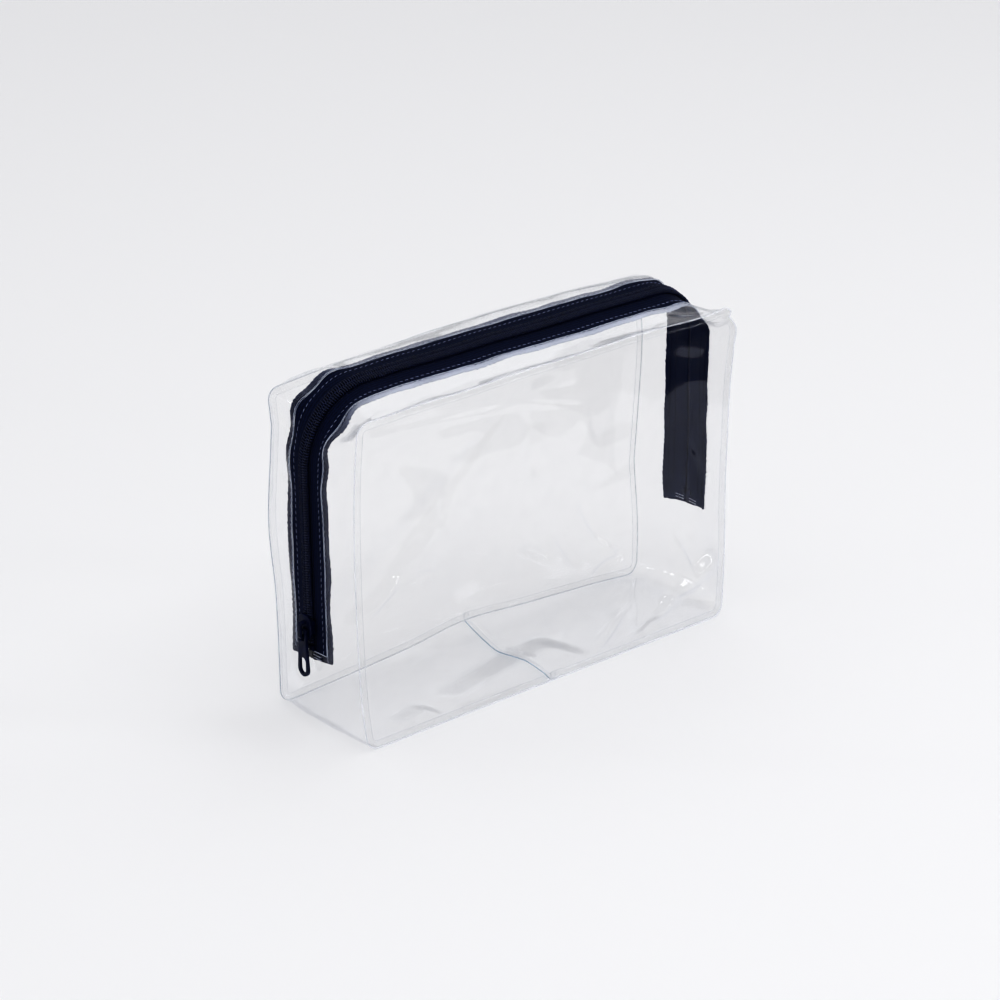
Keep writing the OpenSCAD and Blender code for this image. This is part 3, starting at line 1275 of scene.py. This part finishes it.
@dataclass
class GussetBand:
    """The strip of film round the bag, with turned-in lips and a slot for the zip.

    Attributes:
        form: the bag's shape.
        lip: width of the lips.
        lap: width of the lap under the bag's middle.
        slot_half: half the slot's width.
        slot_left: height of the slot's left end.
        slot_right: height of the slot's right end.
    """

    form: BagForm
    lip: float
    lap: float
    slot_half: float
    slot_left: float
    slot_right: float

    def place(self, along: float, across: float) -> Vector:
        """A point of the strip: across is depth on the web, and runs on into the lips."""
        half_d = self.form.half_d
        depth = max(-half_d, min(half_d, across))
        inset = abs(across) - half_d if abs(across) > half_d else 0.0
        lapped = ramp(self.form.total - 7, self.form.total - 3, along) * (self.form.film + 0.1)
        return self.form.place(along, depth, inset + lapped)

    def build(self, finishes: Finishes) -> None:
        """Makes the strip.

        Args:
            finishes: the bag's materials.
        """
        form = self.form
        slot_first = form.along_at_height(End.LEFT, self.slot_left)
        slot_last = form.along_at_height(End.RIGHT, self.slot_right)
        marks = [-self.lap / 2, *(form.start_of(k) for k in range(1, 9)), slot_first, slot_last]
        marks = sorted([*marks, form.total + self.lap / 2])
        rows: list[float] = []
        for a, b in zip(marks, marks[1:]):
            rows += even(a, b, 1.7)[:-1]
        rows.append(marks[-1])
        # Closer columns by the slot, and where the web turns in to the lips
        half_web = [self.slot_half, 13.4, *even(14.8, 31.3, 1.5), 32.5, 33.6, 34.4, 34.9]
        half_web += [form.half_d, *(form.half_d + self.lip * k / 4 for k in range(1, 5))]
        columns = [-c for c in half_web[::-1]] + even(-10.8, 10.8, 1.8) + half_web

        def keep(along: float, across: float) -> bool:
            """Leaves the zip's slot open."""
            return not (abs(across) < self.slot_half and slot_first < along < slot_last)

        band = sheet_from_grid(
            "film_gusset",
            rows,
            columns,
            self.place,
            keep,
            outside=Vector((0, 0, form.height / 2 * MM)),
        )
        thicken(band, form.film, rim_slot=1)
        dress(band, BAG_BODY, Slot.FILM, finishes.film, finishes.cut_edge_highlight)
        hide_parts("gusset")
        self.build_slot_edge_highlight(slot_first, slot_last, finishes)
        seam = [
            form.place(self.lap / 2, depth, form.film + 0.15)
            for depth in even(1 - form.half_d, form.half_d - 1, 1.5)
        ]
        # The lap weld's dark blue line is painted shade.
        lap = tube_along("lap_weld", [seam], 0.24, sides=8)
        dress(lap, BAG_BODY, Slot.FILM, finishes.lap_weld_shade)

    def build_slot_edge_highlight(self, first: float, last: float, finishes: Finishes) -> None:
        """Makes the slot's cut edge, rounded over a little, and paints a highlight along it: its
        glint is drawn as a pale line.

        Args:
            first: where the slot starts along the loop.
            last: where it ends.
            finishes: the bag's materials.
        """
        half = self.slot_half
        corners = [(first, half), (last, half), (last, -half), (first, -half)]
        run = []
        for (along, depth), (to_along, to_depth) in zip(corners, corners[1:] + corners[:1]):
            gaps = round(abs(to_along - along) / 1.5 + abs(to_depth - depth) / 2)
            for k in range(gaps):
                t = k / gaps
                place = (mix(along, to_along, t), mix(depth, to_depth, t))
                run.append(self.form.place(*place, inset=0.1))
        edge = tube_along("slot_edge_highlight", [run], 0.2, closed=True)
        dress(edge, BAG_BODY, Slot.FILM, finishes.slot_edge_highlight)


# ---- Zip --------------------------------------------------------------------------------


@dataclass(frozen=True)
class StitchRow:
    """A row of dashes of thread along one half of the zip.

    Attributes:
        depth: distance of the row from the middle.
        lift: how far above the tape's ends the row stops.
        length: of one dash.
        gap: between dashes.
        inset: of the thread at a dash's middle, below the film's outer face.
        slant: how far a dash leans across its length.
    """

    depth: float
    lift: float
    length: float
    gap: float
    inset: float
    slant: float = 0.0


@dataclass
class CoilZip:
    """The zip: two woven tapes with a nylon coil, cord and stitching on each.

    Attributes:
        form: the bag's shape.
        tape_left: height of the tape's left end.
        tape_right: height of the tape's right end.
        tape_half: distance from the middle to the tape's edge.
        tape_inner: distance from the middle to the tape's inner edge.
        tape_t: thickness of the tape.
        coil_out: how far the coil's top stands proud of the film.
        coil_half: distance from the middle to the coil's outer side.
        coil_margin: how far above the tape's ends the coil stops.
        slot_margin: how far above the tape's ends the stitching stops.
        pitch: spacing of one coil's loops.
        wire_r: radius of the nylon wire.
        overlap: how far each coil's heads reach past the middle.
        stitch_rows: distances of the two sewn rows from the middle.
        edge_sway: how far the tape's outer edge wanders.
        edge_fray: how far its threads stick out.
        edge_shift: how far the back tape's edge lies beyond its true line; the front's
            lies as far inside it.
    """

    form: BagForm
    tape_left: float
    tape_right: float
    tape_half: float
    tape_inner: float
    tape_t: float
    coil_out: float
    coil_half: float = 3.45
    coil_margin: float = 8.5
    slot_margin: float = 5.0
    pitch: float = 1.32
    wire_r: float = 0.31
    overlap: float = 0.55
    stitch_rows: tuple[float, float] = (9.4, 13.0)
    edge_sway: float = 1.3
    edge_fray: float = 0.9
    edge_shift: float = 0.7

    @property
    def top(self) -> float:
        """Depth of the tape's outer face below the film's outer face."""
        return self.form.film + 0.06

    def span(self, lift: float) -> tuple[float, float]:
        """Where a run along the zip starts and ends, lift above the tape's ends."""
        return (
            self.form.along_at_height(End.LEFT, self.tape_left + lift),
            self.form.along_at_height(End.RIGHT, self.tape_right + lift),
        )

    def edge(self, along: float, side: Side) -> float:
        """Distance of the tape's frayed outer edge from the middle."""
        seed = 11.0 * side.value
        sway = self.edge_sway * noise.noise(Vector((along / 18, seed, 0)))
        fray = self.edge_fray * noise.noise(Vector((along / 1.3, seed, 5)))
        return self.tape_half + sway + fray + 0.1 + self.edge_shift * side.value

    def build_tape(self, side: Side, finishes: Finishes) -> None:
        """Makes one half of the tape, with a cut end and a frayed edge."""
        first, last = self.span(0)
        shares = [0, 0.1, 0.22, 0.34, 0.46, 0.58, 0.7, 0.78, 0.86, 0.93, 0.97, 1]

        def place(along: float, share: float) -> Vector:
            """Widens the grid to the frayed edge, and slants the cut ends."""
            from_end = min(along - first, last - along)
            beyond_slider = ramp(10, 30, along - self.form.start_of(3))
            parted = mix(self.tape_inner, 0.3, beyond_slider)
            inner = mix(0.12, parted, ramp(3, self.coil_margin, from_end))
            depth = mix(inner, self.edge(along, side), share)
            nearness = 1 - ramp(0, 6, from_end)
            slant = nearness * (1.6 * share + 0.6 * noise.noise(Vector((depth, along, 2))))
            shift = slant if along - first < last - along else -slant
            return self.form.place(along + shift * -side.value, side.value * depth, self.top)

        tape = sheet_from_grid(
            f"zip_tape_{side.word}_woven",
            even(first, last, 0.62),
            shares,
            place,
            outside=Vector((0, 0, self.form.height / 2 * MM)),
        )
        uv = tape.data.uv_layers[0]
        reach = self.tape_half - self.tape_inner
        for loop in uv.data:
            loop.uv.y = self.tape_inner * MM + loop.uv.y * reach
        uv.name = "UVMap"
        thicken(tape, self.tape_t, inner_slot=1)
        outside = {Side.FRONT: finishes.tape_front, Side.BACK: finishes.tape_rear}[side]
        dress(tape, BAG_BODY, Slot.TAPE, outside, finishes.tape_inside)
        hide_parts(f"zip_tape_{side.word}")

    def build_coil(self, side: Side, finishes: Finishes) -> None:
        """Makes one coil as a wound wire, with its cord inside."""
        first, last = self.span(self.coil_margin)
        inner, outer = -self.overlap + self.wire_r, self.coil_half - self.wire_r
        high, low = self.form.film - self.wire_r, -self.coil_out + self.wire_r
        mid_y, half_y = (inner + outer) / 2, (outer - inner) / 2
        mid_o, half_o = (high + low) / 2, (high - low) / 2
        turns = int((last - first) / self.pitch) - 1
        steps = 12
        phase = 0.0 if side is Side.BACK else 0.5
        points = []
        for k in range(turns * steps + 1):
            turn = 2 * math.pi * k / steps
            # A flattened loop: its sides are straighter than an ellipse's
            c, s = math.cos(turn), math.sin(turn)
            y = mid_y + half_y * math.copysign(abs(c) ** 0.7, c)
            o = mid_o + half_o * math.copysign(abs(s) ** 0.8, s)
            along = first + self.pitch * (k / steps + phase)
            points.append(self.form.place(along, side.value * y, o))
        coil = tube_along(f"zip_coil_{side.word}_wire", [points], self.wire_r)
        dress(coil, BAG_BODY, Slot.COIL, finishes.nylon)
        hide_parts(f"zip_coil_{side.word}")
        core = [
            self.form.place(along, side.value * (mid_y + 0.5), mid_o)
            for along in even(first, last, 1.5)
        ]
        cord = tube_along(f"zip_cord_{side.word}_core", [core], 0.62, sides=8)
        dress(cord, BAG_BODY, Slot.CORD, finishes.cord)
        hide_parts(f"coil_cord_{side.word}")

    def dash(
        self,
        start: tuple[float, float, float],
        end: tuple[float, float, float],
        dip: float,
    ) -> list[Vector]:
        """One dash of thread, which dips into the cloth at both ends.

        Args:
            start: its first end, as distance along the zip, depth and inset.
            end: its other end.
            dip: how much deeper its ends lie than its middle.

        Returns:
            Its centre line, in metres.
        """
        run = []
        for n in range(5):
            t = n / 4
            along, depth, inset = (mix(a, b, t) for a, b in zip(start, end))
            run.append(self.form.place(along, depth, inset + dip * (2 * t - 1) ** 4))
        return run

    def dashes(self, side: Side, row: StitchRow) -> list[list[Vector]]:
        """The dashes of one row.

        Args:
            side: which half of the zip.
            row: the row.

        Returns:
            Their centre lines, in metres.
        """
        first, last = self.span(row.lift)
        step = row.length + row.gap
        runs = []
        for k in range(int((last - first) / step)):
            start = first + k * step
            middle = row.depth + 0.08 * noise.noise(Vector((start, row.depth, 9)))
            ends = [
                (start + row.length * t, side.value * (middle + row.slant * (t - 0.5)), row.inset)
                for t in (0, 1)
            ]
            runs.append(self.dash(*ends, dip=0.34))
        return runs

    def sew(self, name: str, side: Side, radius: float, *rows: StitchRow) -> bpy.types.Object:
        """Makes rows of dashes of one thread.

        Args:
            name: the mesh object's name.
            side: which half of the zip.
            radius: of the thread.
            rows: the rows.

        Returns:
            The mesh object.
        """
        runs = [run for row in rows for run in self.dashes(side, row)]
        return tube_along(name, runs, radius)

    def build_stitching(self, side: Side, finishes: Finishes) -> None:
        """Makes the coil's stitching, the row on the bare tape and the row at the film's edge."""
        coil_thread = self.sew(
            f"coil_stitching_{side.word}",
            side,
            0.17,
            StitchRow(2.35, self.coil_margin + 1, 2.0, 0.64, 0.05 - self.coil_out),
            StitchRow(self.coil_half + 0.3, self.coil_margin, 2.4, 0.3, 0.35),
        )
        dress(coil_thread, BAG_BODY, Slot.NAVY_THREAD, finishes.navy_thread)
        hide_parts(f"coil_stitch_{side.word}")
        near, far = self.stitch_rows
        tape_thread = self.sew(
            f"tape_stitching_{side.word}",
            side,
            0.15,
            StitchRow(near, self.slot_margin, 2.3, 0.9, self.top - 0.1, slant=0.35),
        )
        dress(tape_thread, BAG_BODY, Slot.PALE_THREAD, finishes.dim_thread)
        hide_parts(f"tape_stitch_{side.word}")
        short = self.slot_margin - 3
        edge_thread = self.sew(
            f"edge_stitching_{side.word}", side, 0.13, StitchRow(far, short, 3.1, 0.12, -0.05)
        )
        dress(edge_thread, BAG_BODY, Slot.PALE_THREAD, finishes.pale_thread)
        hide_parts(f"edge_stitch_{side.word}")
        under = self.top + self.tape_t + 0.12
        bobbin_thread = self.sew(
            f"bobbin_stitching_{side.word}",
            side,
            0.12,
            StitchRow(near, self.slot_margin, 2.9, 0.3, under),
            StitchRow(far, short, 2.9, 0.3, under),
        )
        dress(bobbin_thread, BAG_BODY, Slot.NAVY_THREAD, finishes.navy_thread)

    def build_tack(self, end: End, finishes: Finishes) -> None:
        """Makes the rows of thread across one end of the tape, outside and inside."""
        height = self.tape_left if end is End.LEFT else self.tape_right
        inside = self.top + self.tape_t + 0.14
        runs = []
        for side in Side:
            for rise in (1.6, 3.2):
                along = self.form.along_at_height(end, height + rise)
                for inset, dip in ((-0.14, 0.3), (inside, -0.3)):
                    for near in (2.0, 4.1, 6.2):
                        ends = [
                            (along, side.value * depth, inset) for depth in (near, near + 1.8)
                        ]
                        runs.append(self.dash(*ends, dip=dip))
        tack = tube_along(f"end_tack_{end.word}_thread", runs, 0.2)
        dress(tack, BAG_BODY, Slot.PALE_THREAD, finishes.pale_thread)
        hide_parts(f"end_tack_{end.word}")

    def build(self, finishes: Finishes) -> None:
        """Makes the whole zip, apart from the slider and the stops.

        Args:
            finishes: the bag's materials.
        """
        for side in Side:
            self.build_tape(side, finishes)
            self.build_coil(side, finishes)
            self.build_stitching(side, finishes)
        for end in End:
            self.build_tack(end, finishes)


# ---- Slider, tab and stops --------------------------------------------------------------


@dataclass(frozen=True)
class CastPiece:
    """A small die-cast piece: its frame node's own shape with its edges rounded over.

    Attributes:
        node: the frame node that it stands for.
        body: the body that it rides on.
        edge_r: how far its edges are rounded.
    """

    node: str
    body: str
    edge_r: float

    def build(self, finishes: Finishes) -> None:
        """Makes the piece.

        Args:
            finishes: the bag's materials.
        """
        source = bpy.data.objects[self.node]
        shape = bmesh.new()
        shape.from_mesh(source.data)
        bmesh.ops.remove_doubles(shape, verts=shape.verts, dist=2e-6)
        bmesh.ops.dissolve_limit(
            shape, angle_limit=math.radians(1), verts=shape.verts, edges=shape.edges
        )
        sharp = [
            edge
            for edge in shape.edges
            if len(edge.link_faces) == 2 and edge.calc_face_angle(0) > math.radians(35)
        ]
        bmesh.ops.bevel(
            shape,
            geom=sharp,
            offset=self.edge_r * MM,
            affect="EDGES",
            segments=3,
            profile=0.5,
            material=-1,
            clamp_overlap=True,
        )
        bmesh.ops.recalc_face_normals(shape, faces=shape.faces)
        piece = link_mesh(f"{self.node}_cast", shape)
        shade_smooth(piece, 50)
        dress(piece, self.body, Slot.ZINC, finishes.zinc)
        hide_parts(self.node)


# ---- Studio -----------------------------------------------------------------------------


@dataclass(frozen=True)
class Viewpoint:
    """The camera's place and aim.

    Attributes:
        place: where it stands, in millimetres.
        yaw: turn from looking along +Y, in degrees, anticlockwise from above.
        pitch: tilt up from level, in degrees.
        roll: lean, in degrees.
        lens: focal length for a 36 mm sensor.
    """

    place: tuple[float, float, float] = (-906.25, -1073.51, 686.89)
    yaw: float = -40.01
    pitch: float = -23.06
    roll: float = -0.5
    lens: float = 108.0

    def build(self) -> None:
        """Makes the camera and sets it as the scene's."""
        data = bpy.data.cameras.new("camera")
        data.lens = self.lens
        data.sensor_width = 36.0
        data.clip_start = 0.01
        data.clip_end = 60.0
        camera = bpy.data.objects.new("camera", data)
        turn = (
            Matrix.Rotation(math.radians(self.yaw), 4, "Z")
            @ Matrix.Rotation(math.radians(90 + self.pitch), 4, "X")
            @ Matrix.Rotation(math.radians(self.roll), 4, "Z")
        )
        camera.matrix_world = Matrix.Translation(Vector(self.place) * MM) @ turn
        bpy.context.scene.collection.objects.link(camera)
        bpy.context.scene.camera = camera


@dataclass(frozen=True)
class SoftBox:
    """A soft area light that faces the bag.

    Attributes:
        name: the light's name.
        place: where it hangs, in metres.
        size: its width and height, in metres.
        power: in watts.
        lights_floor: whether it lights matt things as well as showing in glossy ones.
    """

    name: str
    place: tuple[float, float, float]
    size: tuple[float, float]
    power: float
    lights_floor: bool = True

    def build(self, target: Vector) -> None:
        """Makes the light, aimed at a point.

        Args:
            target: the point, in metres.
        """
        data = bpy.data.lights.new(self.name, "AREA")
        data.shape = "RECTANGLE"
        data.size, data.size_y = self.size
        data.energy = self.power
        lamp = bpy.data.objects.new(self.name, data)
        lamp.location = self.place
        lamp.rotation_euler = (target - lamp.location).to_track_quat("-Z", "Y").to_euler()
        lamp.visible_camera = False
        lamp.visible_diffuse = self.lights_floor
        bpy.context.scene.collection.objects.link(lamp)


@dataclass(frozen=True)
class Flag:
    """A dark card on the floor that only the film's reflections show.

    Attributes:
        name: the card's name.
        place: the middle of its foot, in metres.
        size: its width and height, in metres.
        colour: of its faces.
    """

    name: str
    place: tuple[float, float, float]
    size: tuple[float, float]
    colour: str = "#4a4b4e"

    def build(self) -> None:
        """Makes the card, square on to the bag."""
        shape = bmesh.new()
        bmesh.ops.create_grid(shape, x_segments=1, y_segments=1, size=0.5)
        width, height = self.size
        bmesh.ops.scale(shape, verts=shape.verts, vec=(width, height, 1))
        bmesh.ops.translate(shape, verts=shape.verts, vec=(0, height / 2, 0))
        turn = Matrix.Rotation(math.atan2(self.place[1], self.place[0]) + math.pi / 2, 4, "Z")
        stand = Matrix.Rotation(math.pi / 2, 4, "X")
        matrix = Matrix.Translation(self.place) @ turn @ stand
        bmesh.ops.transform(shape, matrix=matrix, verts=shape.verts)
        card = link_mesh(self.name, shape)
        material, tree = new_material("dark_card")
        skin = add_node(tree, "ShaderNodeBsdfDiffuse", inputs={"Color": linear(self.colour)})
        add_node(tree, "ShaderNodeOutputMaterial", inputs={"Surface": skin.outputs[0]})
        card.data.materials.append(material)
        card.visible_camera = False
        card.visible_shadow = False
        card.visible_diffuse = False
        card.visible_transmission = False


@dataclass(frozen=True)
class Zone:
    """A soft-edged round part of the room that is brighter or darker than the rest.

    Attributes:
        toward: its direction from the bag.
        inner: angle from that direction at which it is full, in degrees.
        outer: angle at which it has faded out, in degrees.
        level: its brightness.
    """

    toward: tuple[float, float, float]
    inner: float
    outer: float
    level: float


@dataclass(frozen=True)
class Studio:
    """A plain pale floor under soft light, in a white room that is darker behind the camera.

    Attributes:
        floor_colour: of the floor.
        room: brightness of the room.
        room_colour: colour of its light.
        horizon: colour seen beyond the floor.
        horizon_level: brightness of that.
        glow: brightness of a low band of light round the room, much weaker at the back.
        glow_heights: elevations between which the band lies, in degrees.
        glow_fades: how far back a direction points where the band starts and ends its fade,
            from 0 for straight sideways to 1 for straight behind.
        glow_behind: share of the band that is left there.
        zones: its brighter and darker parts.
        boxes: the soft boxes.
        flag: the dark card before the bag.
    """

    floor_colour: str = "#eeeeef"
    room: float = 0.66
    room_colour: str = "#fbfbfd"
    horizon: str = "#fafafb"
    horizon_level: float = 1.12
    glow: float = 7.0
    glow_heights: tuple[float, float] = (2.5, 7.0)
    glow_fades: tuple[float, float] = (0.05, 0.4)
    glow_behind: float = 0.12
    zones: tuple[Zone, ...] = (
        Zone((-0.35, -0.9, 0.3), 24, 44, 0.15),
        Zone((0.6, -0.7, 0.35), 26, 40, 0.2),
        Zone((0.59, 0.7, 0.18), 11.0, 12.0, 0.3),
        Zone((0.2, 0.1, 1.0), 20, 50, 1.1),
        Zone((0.62, -0.7, 0.36), 4.5, 5.2, 8.5),
        Zone((0.15, -0.95, 0.3), 4.0, 4.7, 8.0),
        Zone((0.92, -0.35, 0.28), 4.0, 4.7, 7.0),
        Zone((-0.6, -0.7, 0.34), 3.0, 3.6, 6.0),
        Zone((-0.62, 0.7, 0.3), 4.0, 4.7, 6.0),
    )
    boxes: tuple[SoftBox, ...] = (
        SoftBox("overhead_box", (0.1, -0.9, 2.3), (1.8, 1.8), 19.8),
        SoftBox("window_box", (1.15, 1.37, 1.25), (1.5, 1.4), 3.6, lights_floor=False),
        SoftBox("low_strip", (1.0, -1.25, 0.24), (1.2, 0.14), 5.0),
    )
    flag: Flag = Flag("front_flag", (0.26, -0.31, 0.001), (0.8, 0.085))

    def build(self, middle: Vector) -> None:
        """Makes the floor, the lights and the world.

        Args:
            middle: the middle of the bag, in metres.
        """
        self.build_floor()
        for box in self.boxes:
            box.build(middle)
        self.flag.build()
        self.build_world()

    def build_floor(self) -> None:
        """Makes a wide round floor, a hair below the bag."""
        shape = bmesh.new()
        bmesh.ops.create_circle(shape, cap_ends=True, segments=96, radius=12.0)
        bmesh.ops.translate(shape, verts=shape.verts, vec=(0, 0, -0.25 * MM))
        floor = link_mesh("floor", shape)
        material, tree = new_material("pale_matt_floor")
        where = add_node(tree, "ShaderNodeTexCoord")
        grain = add_node(
            tree,
            "ShaderNodeTexNoise",
            inputs={"Vector": where.outputs["Object"], "Scale": 1 / (2 * MM)},
        )
        bump = add_node(
            tree,
            "ShaderNodeBump",
            inputs={"Height": grain.outputs[0], "Strength": 0.05, "Distance": 0.05 * MM},
        )
        skin = add_node(
            tree,
            "ShaderNodeBsdfPrincipled",
            inputs={
                "Base Color": linear(self.floor_colour),
                "Roughness": 0.7,
                "Specular IOR Level": 0.2,
                "Normal": bump.outputs[0],
            },
        )
        add_node(tree, "ShaderNodeOutputMaterial", inputs={"Surface": skin.outputs[0]})
        floor.data.materials.append(material)

    def build_world(self) -> None:
        """Makes a room with its brighter and darker zones, which is plain to the camera."""
        world = bpy.data.worlds.new("studio_room")
        bpy.context.scene.world = world
        world.use_nodes = True
        tree = world.node_tree
        tree.nodes.clear()
        where = add_node(tree, "ShaderNodeTexCoord").outputs["Generated"]
        _, depth, height = add_node(tree, "ShaderNodeSeparateXYZ", inputs={0: where}).outputs
        low, high = (math.sin(math.radians(angle)) for angle in self.glow_heights)
        bounds = []
        for value, start, end, first, last in (
            (height, low - 0.01, low + 0.01, 0.0, 1.0),
            (depth, *self.glow_fades, 1.0, self.glow_behind),
            (height, high - 0.01, high + 0.01, self.glow - self.room, 0.0),
        ):
            bounds.append(
                add_node(
                    tree,
                    "ShaderNodeMapRange",
                    inputs={
                        "Value": value,
                        "From Min": start,
                        "From Max": end,
                        "To Min": first,
                        "To Max": last,
                    },
                ).outputs[0]
            )
        above, ahead, below = bounds
        band = add_node(
            tree, "ShaderNodeMath", {"operation": "MULTIPLY"}, {0: above, 1: ahead}
        ).outputs[0]
        level = add_node(
            tree, "ShaderNodeMath", {"operation": "MULTIPLY_ADD"}, {0: band, 1: below, 2: self.room}
        ).outputs[0]
        for zone in self.zones:
            nearness = add_node(
                tree,
                "ShaderNodeVectorMath",
                {"operation": "DOT_PRODUCT"},
                {0: where, 1: Vector(zone.toward).normalized()},
            ).outputs["Value"]
            share = add_node(
                tree,
                "ShaderNodeMapRange",
                {"interpolation_type": "SMOOTHSTEP"},
                {
                    "Value": nearness,
                    "From Min": math.cos(math.radians(zone.outer)),
                    "From Max": math.cos(math.radians(zone.inner)),
                },
            ).outputs[0]
            level = add_node(
                tree,
                "ShaderNodeMix",
                {"data_type": "FLOAT"},
                {0: share, 2: level, 3: zone.level},
            ).outputs[0]
        soft = add_node(
            tree,
            "ShaderNodeBackground",
            inputs={"Color": linear(self.room_colour), "Strength": level},
        )
        plain = add_node(
            tree,
            "ShaderNodeBackground",
            inputs={"Color": linear(self.horizon), "Strength": self.horizon_level},
        )
        path = add_node(tree, "ShaderNodeLightPath")
        pick = add_node(
            tree,
            "ShaderNodeMixShader",
            inputs={0: path.outputs["Is Camera Ray"], 1: soft.outputs[0], 2: plain.outputs[0]},
        )
        add_node(tree, "ShaderNodeOutputWorld", inputs={"Surface": pick.outputs[0]})


# ---- The whole bag ----------------------------------------------------------------------

FRONT_CREASES = (
    Crease((-112, 163), (-20, 157), 0.5, 2, 3),
    Crease((-20, 157), (18, 146), 0.6, 3, 2, 0.2),
    Crease((16, 147), (27, 116), 0.8, 3, 4),
    Crease((-20, 155), (-12, 116), -1.9, 3, 9),
    Crease((-79, 20), (-30, 12), 0.9, 4, 6),
    Crease((66, 11), (116, 36), 5.0, 4, 10, 0.2),
    Crease((72, 26), (118, 8), -3.6, 4, 6, 0.2),
    Crease((82, 56), (98, 28), 3.0, 4, 4),
    Crease((26, 4), (48, 26), 2.4, 3, 5),
    Crease((90, 110), (112, 60), 1.8, 5, 7),
    Crease((-112, 64), (-88, 30), 1.6, 3, 4),
)
BACK_CREASES = (
    Crease((32, 122), (-102, 16), 6.4, 3, 24, 0.1),
    Crease((-66, 29), (-44, 46), -4.2, 4.5, 4.5),
    Crease((-8, 92), (-15, 66), 2.2, 2.6, 2.6),
    Crease((38, 39), (62, 27), 2.9, 3.4, 3.4),
    Crease((64, 38), (79, 16), 3.3, 3.4, 3.6),
    Crease((80, 54), (98, 25), 3.5, 3.8, 4),
    Crease((88, 6), (116, 16), 3.2, 4, 5),
    Crease((96, 26), (114, 4), -3.0, 3.4, 4),
    Crease((-34, 45), (-10, 40), 2.1, 2.5, 2.5),
    Crease((40, 130), (80, 118), 1.2, 4, 8),
    Crease((10, 60), (48, 52), 1.2, 6, 6),
)
BASE_CREASES = (
    Crease((-94, -27), (-68, -23), 2.0, 13, 14, 0.2),
    Crease((-60, -27), (26, -11), 3.9, 20, 24, 0.1),
    Crease((88, 8), (34, -27), 1.0, 4, 4),
    Crease((92, -16), (62, -30), 1.2, 4, 4),
)


def deepen_blacks(view: bpy.types.ColorManagedViewSettings) -> None:
    """Gives the picture the firm blacks of studio prints, and leaves its pale tones alone.

    Args:
        view: the scene's view settings.
    """
    view.use_curve_mapping = True
    mapping = view.curve_mapping
    mapping.extend = "EXTRAPOLATED"
    curve = mapping.curves[3]  # The last curve is for all three colours together
    for level, shown in ((0.03, 0.008), (0.09, 0.035), (0.25, 0.19), (0.5, 0.48)):
        curve.points.new(level, shown)
    mapping.update()


def main() -> None:
    """Builds every piece round the frame and lights the scene."""
    logging.basicConfig(level=logging.INFO, format="%(message)s")
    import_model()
    Viewpoint().build()
    bpy.context.scene.view_settings.view_transform = "Standard"
    bpy.context.scene.cycles.transparent_max_bounces = 32
    deepen_blacks(bpy.context.scene.view_settings)

    form = form_from_frame()
    form.base_creases = BASE_CREASES
    finishes = Finishes()
    tape_low, tape_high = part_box("zip_tape_back")
    _, coil_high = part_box("zip_coil_back")
    FilmPanel(form, Side.FRONT, FRONT_CREASES, billow=1.2, ripple=2.2).build(finishes)
    FilmPanel(form, Side.BACK, BACK_CREASES, billow=1.0, ripple=2.4).build(finishes)
    GussetBand(
        form, lip=4.0, lap=3.0, slot_half=12.4, slot_left=45.0, slot_right=57.0
    ).build(finishes)
    CoilZip(
        form,
        tape_left=tape_low.z / MM,
        tape_right=52.0,
        tape_half=tape_high.y / MM,
        tape_inner=tape_low.y / MM,
        tape_t=0.6,
        coil_out=coil_high.z / MM - form.height - form.bulge,
    ).build(finishes)
    CastPiece("slider_body", SLIDER_BODY, 0.28).build(finishes)
    CastPiece("pull_tab", TAB_BODY, 0.3).build(finishes)
    for stop in ("top_stop_front", "top_stop_back", "bottom_stop"):
        CastPiece(stop, BAG_BODY, 0.2).build(finishes)
    Studio().build(Vector((0, 0, form.height / 2 * MM)))


if __name__ == "__main__":
    main()
